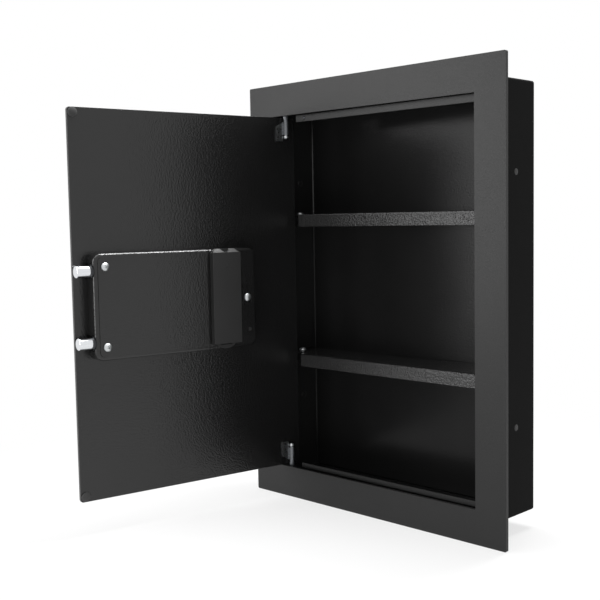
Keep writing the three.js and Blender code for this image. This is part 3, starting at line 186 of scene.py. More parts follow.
# Door, hinge leaves and lock cover
DOOR_CORNER = 3.5 * MM
PAD_RIM = 0.6 * MM
KNUCKLE_RADIUS = 3.5 * MM
KNUCKLE_STEPS = 48
KNUCKLE_SLIT = 1.6 * MM
LEAF_SHEET = 2 * MM
LEAF_WIDTH = 9 * MM
LEAF_SLANT_SHARE = 0.6
LEAF_PAST_KNUCKLE = 8 * MM
COVER_CORNER = 10 * MM
FACE_SLOPE = 1.2 * MM
FACE_SINK = 0.55 * MM
BUTTON_HOLE_RADIUS = 2.5 * MM
BUTTON_RIM = 1 * MM
BUTTON_CHAMFER = 0.4 * MM
BUTTON_DISH = 0.15 * MM

# Battery lid
TRAY_RIM_LIP = 1.4 * MM
LID_CORNER = 1.6 * MM
LID_EDGE = 0.5 * MM
LID_WALL = 1.2 * MM
LID_OVERLAP = 0.8 * MM
LID_SLOPE = 4.2 * MM
LID_SLOPE_FOOT = 1 * MM
LID_SLOPE_DROP = 0.2 * MM
LID_SLOPE_SHOULDER = 1 * MM
LID_SLOPE_TOP_WIDTH = 24 * MM
LID_NOTCH_RADIUS = 6 * MM
LID_LIP = 6.6 * MM
LID_LIP_WIDTH = 29 * MM
LID_LIP_THICKNESS = 1.8 * MM
LID_LIP_STEPS = 128
LID_SLOT_WIDTH = 15 * MM
LID_SLOT_HEIGHT = 1.6 * MM
LID_SLOT_SKIN = 0.1 * MM
LID_MARK_LENGTH = 4 * MM
LID_MARK_WIDTH = 0.9 * MM
LID_MARK_HEIGHT = 0.45 * MM
LID_MARK_DROP = 17 * MM
LID_MARK_SLANT = math.radians(45)

# Reader and key lock on the door's front. The lens's dome is given in shares of its radius and in drops
READER_CORNER = 12 * MM
READER_EDGE = 1.5 * MM
POCKET_WIDTH = 26 * MM
POCKET_HEIGHT = 34 * MM
POCKET_DEPTH = 2.2 * MM
POCKET_CORNER = 9 * MM
WINDOW_CORNER = 2.5 * MM
RIBBON_HOLE_WIDTH = 18 * MM
RIBBON_HOLE_HEIGHT = 5 * MM
RIBBON_HOLE_CORNER = 2 * MM
LENS_DOME = ((1, 0.6 * MM), (0.8, 0.2 * MM), (0.45, 0.05 * MM), (0, 0))
KEY_SHELL_RADIUS = 9.5 * MM
KEY_SHELL_EDGE = 0.5 * MM
KEY_BORE_CHAMFER = 0.4 * MM
KEY_FLANGE_RADIUS = 11 * MM
KEY_FLANGE_THICKNESS = 1.5 * MM
KEY_PLUG_RADIUS = 6 * MM
KEY_PLUG_CHAMFER = 0.3 * MM
KEYWAY_WIDTH = 2 * MM
KEYWAY_HEIGHT = 8 * MM
KEYWAY_DEPTH = 12 * MM
CAP_RADIUS = 13 * MM
CAP_THICKNESS = 2.2 * MM
CAP_EDGE = 0.8 * MM
CAP_DISH = 0.5 * MM
CAP_DISH_RIM = 3 * MM
CAP_FACE_RIM = 2.5 * MM
CAP_EAR_RADIUS = 4 * MM
CAP_EAR_STEP = 0.2 * MM
CAP_EAR_STEPS = 48
CAP_PIVOT_RADIUS = 1.5 * MM
CAP_PIVOT_DEPTH = 3.8 * MM

# Finishes. The clouds are the slow changes of tone, and the shares compare tones and patterns
COAT_CLOUD = 60 * MM
COAT_LIGHTER_SHARE = 1.3
PEEL_ROUGHNESS = 0.55
GRIT_PITCH_SHARE = 0.4
GRIT_REACH = (0.3, 0.7)
PLATING_RELIEF = 0.3
MOULDING_CLOUD = 25 * MM
MOULDING_DARKER_SHARE = 0.8
MOULDING_RELIEF = 0.4

# Camera, read from the photograph's perspective, in metres and radians, for a square picture in pixels
PHOTO_SIDE = 600
FOCAL_PIXELS = 988.3
SENSOR_WIDTH = 36
CAMERA_PLACE = (0.77778, -0.89420, 0.09576)
CAMERA_AZIMUTH = 0.78444
CAMERA_ELEVATION = 0.08162
CAMERA_ROLL = -0.01791

# Studio: each softbox's place, the point that it faces, its width and its height, in metres
OVERHEAD_SOFTBOX = ((-0.5, -0.4, 1.6), (0, 0, 0), 2, 1.4)
FRONT_SOFTBOX = ((-1.15, -1.6, 0.28), (0, 0, 0), 0.9, 1.4)
STRIP_SOFTBOX = ((0.09, 0.32, 1.36), (-0.18, -0.2, 0.06), 0.25, 0.8)
# The floor lies a little below the safe. It is mostly white near the safe and all white further out
FLOOR_REACH = 6
FLOOR_DROP = 0.5 * MM
FLOOR_NEAR = 0.2
FLOOR_FAR = 0.75
FLOOR_NEAR_WHITE = 0.7


def linear(code):
    """An sRGB hex colour as linear red, green and blue."""
    parts = [int(code[i:i + 2], 16) / 255 for i in (1, 3, 5)]
    return tuple(part / 12.92 if part <= 0.04045 else ((part + 0.055) / 1.055) ** 2.4 for part in parts)


class WallSafeSizes(bpy.types.PropertyGroup):
    """Sizes that a user would change."""

    sheet_edge: bpy.props.FloatProperty(
        name="Sheet edge easing", description="Rounding of the cut edges of sheet metal",
        default=0.3 * MM, min=0.05 * MM, unit="LENGTH")
    flange_edge: bpy.props.FloatProperty(
        name="Flange edge easing", description="Rounding of the flange's and the door's edges",
        default=0.4 * MM, min=0.05 * MM, unit="LENGTH")
    cover_edge: bpy.props.FloatProperty(
        name="Cover edge radius", description="Pressed radius round the lock cover's face",
        default=4.2 * MM, min=0.5 * MM, unit="LENGTH")
    door_chamfer: bpy.props.FloatProperty(
        name="Door chamfer", description="Chamfer round the front of the door",
        default=1 * MM, min=0.1 * MM, unit="LENGTH")
    moulding_edge: bpy.props.FloatProperty(
        name="Moulding edge radius", description="Rounding of the plastic mouldings' edges",
        default=0.35 * MM, min=0.05 * MM, unit="LENGTH")
    bolt_chamfer: bpy.props.FloatProperty(
        name="Bolt chamfer", description="Chamfer at the tip of each live bolt",
        default=0.8 * MM, min=0.1 * MM, unit="LENGTH")
    peel_pitch: bpy.props.FloatProperty(
        name="Orange-peel pitch",
        description="Distance between the textured coat's bumps, drawn coarser than the real 1 mm to be seen",
        default=2.25 * MM, min=0.5 * MM, unit="LENGTH")


class WallSafeColours(bpy.types.PropertyGroup):
    """Colours that a user would change."""

    textured_coat: bpy.props.FloatVectorProperty(
        name="Textured coat", description="Powder coat of the door, the lock cover and the brackets",
        subtype="COLOR", size=3, min=0, max=1, default=linear("#191919"))
    satin_coat: bpy.props.FloatVectorProperty(
        name="Satin coat", description="Powder coat of the flange and the door stops",
        subtype="COLOR", size=3, min=0, max=1, default=linear("#1b1b1b"))
    # Darker than the other coats: painted shade on the sleeve's outside, which faces away from the lamps
    painted_shade_matt_coat: bpy.props.FloatVectorProperty(
        name="Matt coat", description="Powder coat of the sleeve that the wall hides",
        subtype="COLOR", size=3, min=0, max=1, default=linear("#111111"))
    plastic: bpy.props.FloatVectorProperty(
        name="Plastic", description="Mouldings of the reader and the battery box",
        subtype="COLOR", size=3, min=0, max=1, default=linear("#2f2f2f"))
    status_light: bpy.props.FloatVectorProperty(
        name="Status light", description="Lens of the reader's light",
        subtype="COLOR", size=3, min=0, max=1, default=linear("#2f8f3c"))


class WallSafeStudio(bpy.types.PropertyGroup):
    """Lights that a user would change."""

    room_level: bpy.props.FloatProperty(
        name="Room level", description="Strength of the even light from all round", default=0.45, min=0)
    overhead_power: bpy.props.FloatProperty(
        name="Overhead softbox", description="Power in watts of the light above the safe", default=22, min=0)
    front_power: bpy.props.FloatProperty(
        name="Front softbox", description="Power in watts of the light at the front left", default=16, min=0)
    strip_power: bpy.props.FloatProperty(
        name="Strip softbox", description="Power in watts of the narrow light above and behind",
        default=25, min=0)


# A group of values by the name under which the scene holds it
GROUPS = {
    "wall_safe_sizes": WallSafeSizes,
    "wall_safe_colours": WallSafeColours,
    "wall_safe_studio": WallSafeStudio,
}


def joint(name):
    """What the frame says of a joint."""
    return next(item for item in frame["joints"] if item["name"] == name)


def door_place():
    """The move from the door's own coordinates to its place when it stands open."""
    swing = joint("door_swing")
    hinge = Vector(swing["pos_m"])
    turn = Matrix.Rotation(-math.radians(swing["range_deg"][1]), 4, "Z")
    return Matrix.Translation(hinge) @ turn @ Matrix.Translation(Vector((0, DOOR_FACE, 0)) - hinge)


DOOR_PLACE = door_place()


def body_of(node):
    """The body that a node moves with."""
    return frame["nodes"][node]["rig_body"]


def home(node):
    """The place of the coordinates that a node's piece is modelled in."""
    return Matrix.Identity(4) if body_of(node) == "cabinet" else DOOR_PLACE


def span(node):
    """Lowest and highest corner of a node, in the coordinates that its piece is modelled in."""
    back = home(node).inverted()
    points = [back @ vertex.co for vertex in frame["nodes"][node].data.vertices]
    low = Vector([min(point[axis] for point in points) for axis in (X, Y, Z)])
    high = Vector([max(point[axis] for point in points) for axis in (X, Y, Z)])
    return low, high


def middle(node):
    """The centre of a node, in the same coordinates."""
    low, high = span(node)
    return (low + high) / 2


def cap_pivot(key):
    """The pivot of the cap, above the key's axis."""
    pivot = Vector(key)
    pivot.z = joint("key_cap_swing")["pos_m"][2]
    return pivot


# Mesh tools

ALONG = {
    X: Matrix.Rotation(math.pi / 2, 4, "Y"),
    Y: Matrix.Rotation(-math.pi / 2, 4, "X"),
    Z: Matrix.Identity(4),
}


def lies_at(place, axis, value):
    """Tells whether a place lies in a plane across an axis."""
    return abs(place[axis] - value) < SAME_PLACE


def block(low, high):
    """A box between two corners."""
    low, high = Vector(low), Vector(high)
    bm = bmesh.new()
    bmesh.ops.create_cube(bm, size=1)
    bmesh.ops.scale(bm, vec=high - low, verts=bm.verts)
    bmesh.ops.translate(bm, vec=(low + high) / 2, verts=bm.verts)
    return bm


def edges_along(bm, axis, keep=lambda place: True):
    """The edges that run along an axis and whose middle passes a test."""
    chosen = []
    for edge in bm.edges:
        first, second = (vertex.co for vertex in edge.verts)
        reach = second - first
        if abs(reach[axis]) > ALONG_SHARE * reach.length and keep((first + second) / 2):
            chosen.append(edge)
    return chosen


def lying_at(parts, axis, value):
    """The edges or faces that lie in a plane across an axis."""
    return [part for part in parts if all(lies_at(vertex.co, axis, value) for vertex in part.verts)]


def delete_faces(bm, faces):
    """Opens a shape by taking faces away, and leaves their edges."""
    bmesh.ops.delete(bm, geom=faces, context="FACES_ONLY")


def ease(bm, edges, radius, steps):
    """Rounds edges to a radius, or chamfers them in one step."""
    bmesh.ops.bevel(
        bm, geom=edges, offset=radius, offset_type="OFFSET", segments=steps, profile=0.5,
        affect="EDGES", clamp_overlap=True, material=-1)


def slab(low, high, corner, steps=8):
    """A plate across Y between two corners, with round corners."""
    bm = block(low, high)
    ease(bm, edges_along(bm, Y), corner, steps)
    return bm


def centred_slab(centre, width, height, low, high, corner):
    """A plate across Y round a centre, with round corners, between two depths."""
    half = Vector((width / 2, 0, height / 2))
    first = centre - half
    second = centre + half
    first.y, second.y = low, high
    return slab(first, second, corner)


def corners_at(bm, points, axis, start):
    """Corners from points given on the other two axes, in X, Y, Z order, at a place along one axis."""
    corners = []
    for point in points:
        place = list(point)
        place.insert(axis, start)
        corners.append(bm.verts.new(place))
    return corners


def draw_out(bm, grown, axis, length):
    """Moves the corners that an extrusion has grown along an axis."""
    reach = Vector((0, 0, 0))
    reach[axis] = length
    corners = [item for item in grown["geom"] if isinstance(item, bmesh.types.BMVert)]
    bmesh.ops.translate(bm, vec=reach, verts=corners)


def prism(points, axis, start, end):
    """An outline drawn out along one axis."""
    bm = bmesh.new()
    bm.faces.new(corners_at(bm, points, axis, start))
    draw_out(bm, bmesh.ops.extrude_face_region(bm, geom=bm.faces[:]), axis, end - start)
    bmesh.ops.recalc_face_normals(bm, faces=bm.faces)
    return bm


def turned(profile, axis, centre, steps=ROUND_STEPS):
    """A solid of revolution from (radius, place along the axis) points, round an axis through a centre."""
    bm = bmesh.new()
    line = [bm.verts.new((radius, 0, place)) for radius, place in profile]
    edges = [bm.edges.new(pair) for pair in zip(line, line[1:])]
    bmesh.ops.spin(
        bm, geom=line + edges, cent=(0, 0, 0), axis=(0, 0, 1), angle=2 * math.pi, steps=steps, use_merge=True)
    bmesh.ops.remove_doubles(bm, verts=bm.verts, dist=MERGE_REACH)
    place = Vector(centre)
    place[axis] = 0
    bmesh.ops.transform(bm, matrix=Matrix.Translation(place) @ ALONG[axis], verts=bm.verts)
    bmesh.ops.recalc_face_normals(bm, faces=bm.faces)
    return bm


def rod(radius, start, end, axis, centre, steps=ROUND_STEPS):
    """A solid cylinder along an axis."""
    return turned([(0, start), (radius, start), (radius, end), (0, end)], axis, centre, steps)


def dome(radius, seat, height):
    """Profile points of a domed head, from its rim to its top."""
    points = []
    for step in range(DOME_STEPS):
        angle = step / DOME_STEPS * math.pi / 2
        points.append((radius * math.cos(angle), seat + height * math.sin(angle)))
    return [*points, (0, seat + height)]


def spare_object(bm):
    """An object that only lends its mesh to a modifier."""
    mesh = bpy.data.meshes.new("spare")
    bm.to_mesh(mesh)
    bm.free()
    spare = bpy.data.objects.new("spare", mesh)
    bpy.context.scene.collection.objects.link(spare)
    return spare


def take_result(spare, *tools):
    """The mesh that an object's modifiers make. The object and its tools are removed."""
    bpy.context.view_layer.update()
    bm = bmesh.new()
    bm.from_object(spare, bpy.context.evaluated_depsgraph_get())
    for item in (spare, *tools):
        mesh = item.data
        bpy.data.objects.remove(item)
        bpy.data.meshes.remove(mesh)
    return bm


def carve(bm, cutters, operation="DIFFERENCE"):
    """Cuts shapes out of a shape, or joins or crosses them with it."""
    spare = spare_object(bm)
    tools = [spare_object(cutter) for cutter in cutters]
    for tool in tools:
        boolean = spare.modifiers.new("carve", "BOOLEAN")
        boolean.operation = operation
        boolean.solver = "EXACT"
        boolean.object = tool
    result = take_result(spare, *tools)
    bmesh.ops.remove_doubles(result, verts=result.verts, dist=MERGE_REACH)
    return result


def thicken(bm, thickness, offset=-1.0):
    """Gives sheet its thickness: inwards from its outside, or to both sides with an offset of 0."""
    spare = spare_object(bm)
    solidify = spare.modifiers.new("sheet", "SOLIDIFY")
    solidify.thickness = thickness
    solidify.offset = offset
    solidify.use_even_offset = True
    return take_result(spare)


def folded_sheet(path, axis, start, end, fold=FOLD_RADIUS):
    """A sheet whose middle follows a path on the other two axes, folded at its corners. No fold radius leaves
    the corners sharp."""
    bm = bmesh.new()
    line = corners_at(bm, path, axis, start)
    edges = [bm.edges.new(pair) for pair in zip(line, line[1:])]
    draw_out(bm, bmesh.ops.extrude_edge_only(bm, edges=edges), axis, end - start)
    if fold:
        ease(bm, [edge for edge in bm.edges if len(edge.link_faces) == 2], fold, FOLD_STEPS)
    bmesh.ops.recalc_face_normals(bm, faces=bm.faces)
    return thicken(bm, SHEET, 0.0)


def cross_recess(axis, top, centre, reach, depth):
    """The two crossing slots of a driver's recess in a screw's head."""
    arms = []
    slot = reach * RECESS_SLOT_SHARE
    for turn in (0, math.pi / 2):
        arm = block((-reach, -slot, -depth), (reach, slot, depth))
        foot = [vertex for vertex in arm.verts if vertex.co.z < 0]
        bmesh.ops.scale(arm, vec=RECESS_TAPER, verts=foot)
        place = Vector(centre)
        place[axis] = top
        move = Matrix.Translation(place) @ ALONG[axis] @ Matrix.Rotation(turn + RECESS_TURN, 4, "Z")
        bmesh.ops.transform(arm, matrix=move, verts=arm.verts)
        arms.append(arm)
    return arms


def make_screw(node, axis, head_height, shank_radius):
    """Makes a domed screw with a cross recess, whose head points along an axis."""
    low, high = span(node)
    radius = (high.x - low.x) / 2
    seat = high[axis] - head_height
    centre = (low + high) / 2
    profile = [
        (0, low[axis]), (shank_radius * SCREW_TIP_SHARE, low[axis]), (shank_radius, low[axis] + SCREW_TIP),
        (shank_radius, seat), (radius * SCREW_SEAT_SHARE, seat)]
    profile += dome(radius, seat + SCREW_RIM, head_height - SCREW_RIM)
    recess = cross_recess(
        axis, high[axis], centre, radius * RECESS_REACH_SHARE, head_height * RECESS_DEPTH_SHARE)
    screw = carve(turned(profile, axis, centre), recess)
    hand_over(screw, node, "zinced_steel", SCREW_EDGE, finish="satin_zinc")


def merged_copy(node):
    """A node's own shape with its corners merged and its flat faces whole, in its modelling coordinates."""
    bm = bmesh.new()
    bm.from_mesh(frame["nodes"][node].data)
    bmesh.ops.remove_doubles(bm, verts=bm.verts, dist=SOLID_MERGE_REACH)
    bmesh.ops.dissolve_limit(bm, angle_limit=FLAT_ANGLE, verts=bm.verts, edges=bm.edges)
    bmesh.ops.transform(bm, matrix=home(node).inverted(), verts=bm.verts)
    return bm


def make_piece(bm, name, body, slot, easing=0.0, angle=CRISP_ANGLE, finish=None):
    """Makes a finished piece of a shape, with eased edges and flat faces shaded flat, that rides on a body.
    finish names one finish other than the slot's, or one for each material number of the shape's faces."""
    mesh = bpy.data.meshes.new(name)
    bm.to_mesh(mesh)
    bm.free()
    mesh.shade_smooth()
    mesh.set_sharp_from_angle(angle=math.radians(angle))
    for item in ([finish or slot] if isinstance(finish, (str, type(None))) else finish):
        mesh.materials.append(finish_for(item))
    piece = bpy.data.objects.new(name, mesh)
    bpy.context.scene.collection.objects.link(piece)
    if easing:
        bevel = piece.modifiers.new("eased edges", "BEVEL")
        bevel.width = easing
        bevel.segments = EASING_STEPS
        bevel.limit_method = "ANGLE"
        bevel.angle_limit = math.radians(angle)
        bevel.use_clamp_overlap = True
    flat = piece.modifiers.new("flat faces", "WEIGHTED_NORMAL")
    flat.keep_sharp = True
    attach(piece, body)
    return piece


def hand_over(bm, node, slot, easing=0.0, angle=CRISP_ANGLE, finish=None):
    """Makes the piece that stands for a node, in the node's place."""
    bmesh.ops.transform(bm, matrix=home(node), verts=bm.verts)
    piece = make_piece(bm, f"{node}_shape", body_of(node), slot, easing, angle, finish)
    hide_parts(node)


def keep_solid(node, slot, easing, angle=CRISP_ANGLE):
    """Makes the piece of a node whose own solid already has the real form."""
    hand_over(merged_copy(node), node, slot, easing, angle)


# Finishes

def add_node(tree, kind, values=None, links=None, **settings):
    """Adds a node with its settings and input values, and links outputs to its inputs."""
    node = tree.nodes.new(kind)
    for name, value in settings.items():
        setattr(node, name, value)
    for name, value in (values or {}).items():
        node.inputs[name].default_value = value
    for name, output in (links or {}).items():
        tree.links.new(output, node.inputs[name])
    return node


def start_finish(name, **surface_values):
    """A material with its surface shader, and the object's own coordinates."""
    material = bpy.data.materials.new(name)
    material.use_nodes = True
    tree = material.node_tree
    tree.nodes.clear()
    surface = add_node(tree, "ShaderNodeBsdfPrincipled", surface_values)
    add_node(tree, "ShaderNodeOutputMaterial", links={"Surface": surface.outputs["BSDF"]})
    place = add_node(tree, "ShaderNodeTexCoord").outputs["Object"]
    return material, tree, surface, place


def mottle(tree, surface, place, pitch, detail, first, second):
    """Lets the surface's colour wander softly between two tones."""
    cloud = add_node(tree, "ShaderNodeTexNoise", {"Scale": 1 / pitch, "Detail": detail}, {"Vector": place})
    values = {"A": (*first, 1), "B": (*second, 1)}
    tone = add_node(tree, "ShaderNodeMix", values, {"Factor": cloud.outputs["Fac"]}, data_type="RGBA")
    tree.links.new(tone.outputs["Result"], surface.inputs["Base Color"])


def grain(tree, surface, place, pitch, detail, gloss, relief, depth, reach=(0, 1)):
    """A grain whose bumps lie about a pitch in metres apart. It takes the surface's roughness over the range
    of its gloss while its height goes over a reach. Returns the tilts that its relief and real depth give."""
    values = {"Scale": 1 / pitch, "Detail": detail}
    height = add_node(tree, "ShaderNodeTexNoise", values, {"Vector": place}).outputs["Fac"]
    values = {"From Min": reach[0], "From Max": reach[1], "To Min": gloss[0], "To Max": gloss[1]}
    rough = add_node(tree, "ShaderNodeMapRange", values, {"Value": height})
    tree.links.new(rough.outputs["Result"], surface.inputs["Roughness"])
    values = {"Strength": relief, "Distance": depth}
    return add_node(tree, "ShaderNodeBump", values, {"Height": height}).outputs["Normal"]


def powder_coat(name, colour, gloss, shine, pitch, peel_depth, grit_depth):
    """Black polyester powder coat, oven-cured. gloss is the range of its roughness and shine its specular
    level. The melted powder leaves a peel with bumps a pitch apart and a finer grit. Both are drawn coarser
    than the real ones, of 1 mm and less, which are too fine for the picture to show."""
    material, tree, surface, place = start_finish(name, **{"IOR": 1.5, "Specular IOR Level": shine})
    lighter = [min(1, part * COAT_LIGHTER_SHARE) for part in colour]
    mottle(tree, surface, place, COAT_CLOUD, 3, colour, lighter)
    grit = grain(tree, surface, place, pitch * GRIT_PITCH_SHARE, 1, gloss, 1, grit_depth, GRIT_REACH)
    values = {"Scale": 1 / pitch, "Detail": 2, "Roughness": PEEL_ROUGHNESS}
    peel = add_node(tree, "ShaderNodeTexNoise", values, {"Vector": place}).outputs["Fac"]
    values = {"Strength": 1, "Distance": peel_depth}
    skin = add_node(tree, "ShaderNodeBump", values, {"Height": peel, "Normal": grit})
    tree.links.new(skin.outputs["Normal"], surface.inputs["Normal"])
    return material


def textured_powder_coat():
    """The door, the cover, the brackets and the upper beads: a glossy coat whose orange peel breaks the light
    up."""
    scene = bpy.context.scene
    return powder_coat(
        "textured black powder coat", scene.wall_safe_colours.textured_coat, gloss=(0.12, 0.2), shine=0.46,
        pitch=scene.wall_safe_sizes.peel_pitch, peel_depth=0.29 * MM, grit_depth=0.03 * MM)


def painted_shade_powder_coat():
    """The back wall, the shelves' tops and the lower beads, deep in the body: a duller copy of the textured
    coat whose low shine is painted shade.
    """
    return powder_coat(
        "thin textured black powder coat", linear("#1f1f1f"), gloss=(0.16, 0.24), shine=0.13,
        pitch=bpy.context.scene.wall_safe_sizes.peel_pitch, peel_depth=0.12 * MM, grit_depth=0.03 * MM)


def inner_powder_coat():
    """The sleeve's inside and the plugs in it: a dusty overspray, a little greyer than the coat outside."""
    return powder_coat(
        "overspray of black powder coat", linear("#222222"), gloss=(0.35, 0.5), shine=0.3,
        pitch=1.8 * MM, peel_depth=0.15 * MM, grit_depth=0.03 * MM)


def painted_light_powder_coat():
    """The shelves' fronts and the sleeve's floor: a lighter, shinier copy of the textured coat, painted light
    where the lamps reach into the opening, with a deep peel that sparkles.
    """
    return powder_coat(
        "thick textured black powder coat", linear("#252525"), gloss=(0.1, 0.2), shine=0.5,
        pitch=bpy.context.scene.wall_safe_sizes.peel_pitch, peel_depth=0.9 * MM, grit_depth=0.08 * MM)


def painted_shade_matt_powder_coat():
    """The sleeve's outside, which the wall hides: a thin matt coat, darker than the others as painted shade
    on the side that faces away from the lamps, so that it stays dark at every angle.
    """
    return powder_coat(
        "matt black powder coat", bpy.context.scene.wall_safe_colours.painted_shade_matt_coat, gloss=(0.5, 0.62),
        shine=0.03, pitch=1.8 * MM, peel_depth=0.06 * MM, grit_depth=0.02 * MM)


def satin_powder_coat():
    """The flange and the door stops: a smooth satin coat, even, with a faint fine grain."""
    return powder_coat(
        "satin black powder coat", bpy.context.scene.wall_safe_colours.satin_coat, gloss=(0.34, 0.44),
        shine=0.3, pitch=2.2 * MM, peel_depth=0.1 * MM, grit_depth=0.03 * MM)


def plated_metal(name, code, gloss, pitch, depth):
    """A plated metal. Its gloss wanders with the plating's grain, which is drawn coarser than the real one,
    of about 0.1 mm, so that the picture can show it."""
    material, tree, surface, place = start_finish(name, **{"Metallic": 1.0, "Base Color": (*linear(code), 1)})
    skin = grain(tree, surface, place, pitch, 3, gloss, PLATING_RELIEF, depth)
    tree.links.new(skin, surface.inputs["Normal"])
    return material


def chromed_steel():
    """Ground steel with bright chrome plate: nearly a mirror, with soft stripes from the grinding."""
    return plated_metal("bright chrome plate on ground steel", "#dfe1e4", (0.08, 0.2), 6 * MM, 0.01 * MM)


def zinced_steel():
    """Pressed steel with bright zinc plate: a soft, slightly cloudy metal shine."""
    return plated_metal("bright zinc plate on pressed steel", "#b9bcbd", (0.2, 0.38), 2.5 * MM, 0.02 * MM)


def satin_zinc():
    """Barrel-plated screws and pins: zinc with a silky skin that shines all over."""
    return plated_metal("barrel-plated satin zinc", "#cdd0d1", (0.38, 0.5), 1.2 * MM, 0.02 * MM)


def dull_zinc():
    """The hinge knuckles' zinc: a darker copy of the leaves' zinc plate, painted shade, a dark metal with a
    soft shine.
    """
    return plated_metal("grey passivated zinc plate", "#6e7073", (0.22, 0.34), 2 * MM, 0.02 * MM)


def blackened_steel():
    """Machined steel with black oxide: dark, with a low metal shine."""
    return plated_metal("black oxide on machined steel", "#3a3b3d", (0.18, 0.3), 2 * MM, 0.015 * MM)


def nickel_plate():
    """Machined metal with nickel plate: warm and softly bright."""
    return plated_metal("nickel plate on machined metal", "#c9c6bd", (0.16, 0.3), 3 * MM, 0.01 * MM)


def brass():
    """Machined brass: yellow, with a fine cutter grain."""
    return plated_metal("machined brass", "#b08d4a", (0.22, 0.36), 1.5 * MM, 0.02 * MM)


def moulded(name, colour, gloss, pitch, depth, **surface_values):
    """A moulded or coated piece of one colour. Its skin's fine grain is drawn coarser than the real one, of
    about 0.1 mm, so that the picture can show it."""
    material, tree, surface, place = start_finish(name, **surface_values)
    darker = [part * MOULDING_DARKER_SHARE for part in colour]
    mottle(tree, surface, place, MOULDING_CLOUD, 2, darker, colour)
    skin = grain(tree, surface, place, pitch, 2, gloss, MOULDING_RELIEF, depth)
    tree.links.new(skin, surface.inputs["Normal"])
    return material


def black_plastic():
    """Black ABS moulded in a spark-eroded tool: satin, with a fine even grain."""
    return moulded(
        "spark-grained black ABS", bpy.context.scene.wall_safe_colours.plastic, (0.36, 0.46), 0.9 * MM,
        0.04 * MM, **{"IOR": 1.53, "Specular IOR Level": 0.3})


def black_rubber():
    """Moulded nitrile rubber: matt and dusty."""
    return moulded("matt moulded rubber", linear("#3a3a3a"), (0.75, 0.9), 1.2 * MM, 0.08 * MM, IOR=1.52)


def dark_glass():
    """Coated sensor glass: deep, almost black, with a clear polish."""
    return moulded(
        "polished coated sensor glass", linear("#0b1016"), (0.05, 0.09), 8 * MM, 0.002 * MM, IOR=1.52)


def green_lens():
    """Polished polycarbonate light lens: clear green with a bright skin."""
    return moulded(
        "polished green polycarbonate", bpy.context.scene.wall_safe_colours.status_light, (0.12, 0.2), 3 * MM,
        0.005 * MM, **{"IOR": 1.58, "Transmission Weight": 0.3})


def green_board():
    """Solder mask over a woven glass board: glossy green."""
    return moulded(
        "solder mask on glass-fibre board", linear("#1d5a34"), (0.3, 0.5), 1 * MM, 0.03 * MM, IOR=1.5)


def cell_wrap():
    """Shrunk film sleeve of a dry cell: smooth and glossy."""
    return moulded("shrunk film on a dry cell", linear("#2f3f52"), (0.25, 0.35), 5 * MM, 0.02 * MM, IOR=1.55)


def grey_cable():
    """Soft PVC insulation: smooth, with a low sheen."""
    return moulded("soft grey PVC insulation", linear("#8d9093"), (0.45, 0.6), 2 * MM, 0.02 * MM, IOR=1.54)


# Some finishes are lit or shaded copies of one coat or plate: the painted-light and painted-shade entries
# paint light and shade into colour and shine
FINISHES = {
    "hammer_black": textured_powder_coat,
    "pan_black": painted_shade_powder_coat,
    "inner_black": inner_powder_coat,
    "shelf_black": painted_light_powder_coat,
    "matt_black": painted_shade_matt_powder_coat,
    "satin_black": satin_powder_coat,
    "chromed_steel": chromed_steel,
    "zinced_steel": zinced_steel,
    "satin_zinc": satin_zinc,
    "dull_zinc": dull_zinc,
    "blackened_steel": blackened_steel,
    "nickel_plate": nickel_plate,
    "brass": brass,
    "black_plastic": black_plastic,
    "black_rubber": black_rubber,
    "dark_glass": dark_glass,
    "green_lens": green_lens,
    "green_board": green_board,
    "cell_wrap": cell_wrap,
    "grey_cable": grey_cable,
}
made_finishes = {}


def finish_for(name):
    """The material of a finish, made once."""
    if name not in made_finishes:
        made_finishes[name] = FINISHES[name]()
    return made_finishes[name]


# Pieces of the cabinet

class WALLSAFE_OT_flange(bpy.types.Operator):
    """Makes the flat border on the wall's surface, with the opening for the door"""

    bl_idname = "wallsafe.flange"
    bl_label = "Wall flange"

    def execute(self, context):
        low, high = span("wall_flange")
        door_low, door_high = span("door_panel")
        reach = Vector((DOOR_SIDE_GAP, 0, DOOR_END_GAP))
        first, second = door_low - reach, door_high + reach
        first.y, second.y = low.y - PAST, high.y + PAST
        plate = slab(low, high, FLANGE_CORNER)
        ease(plate, edges_along(plate, Z, lambda place: lies_at(place, Y, low.y)), FLANGE_END_EASING, steps=4)
        plate = carve(plate, [block(first, second)])
        hand_over(plate, "wall_flange", "satin_black", context.scene.wall_safe_sizes.flange_edge)
        return {"FINISHED"}


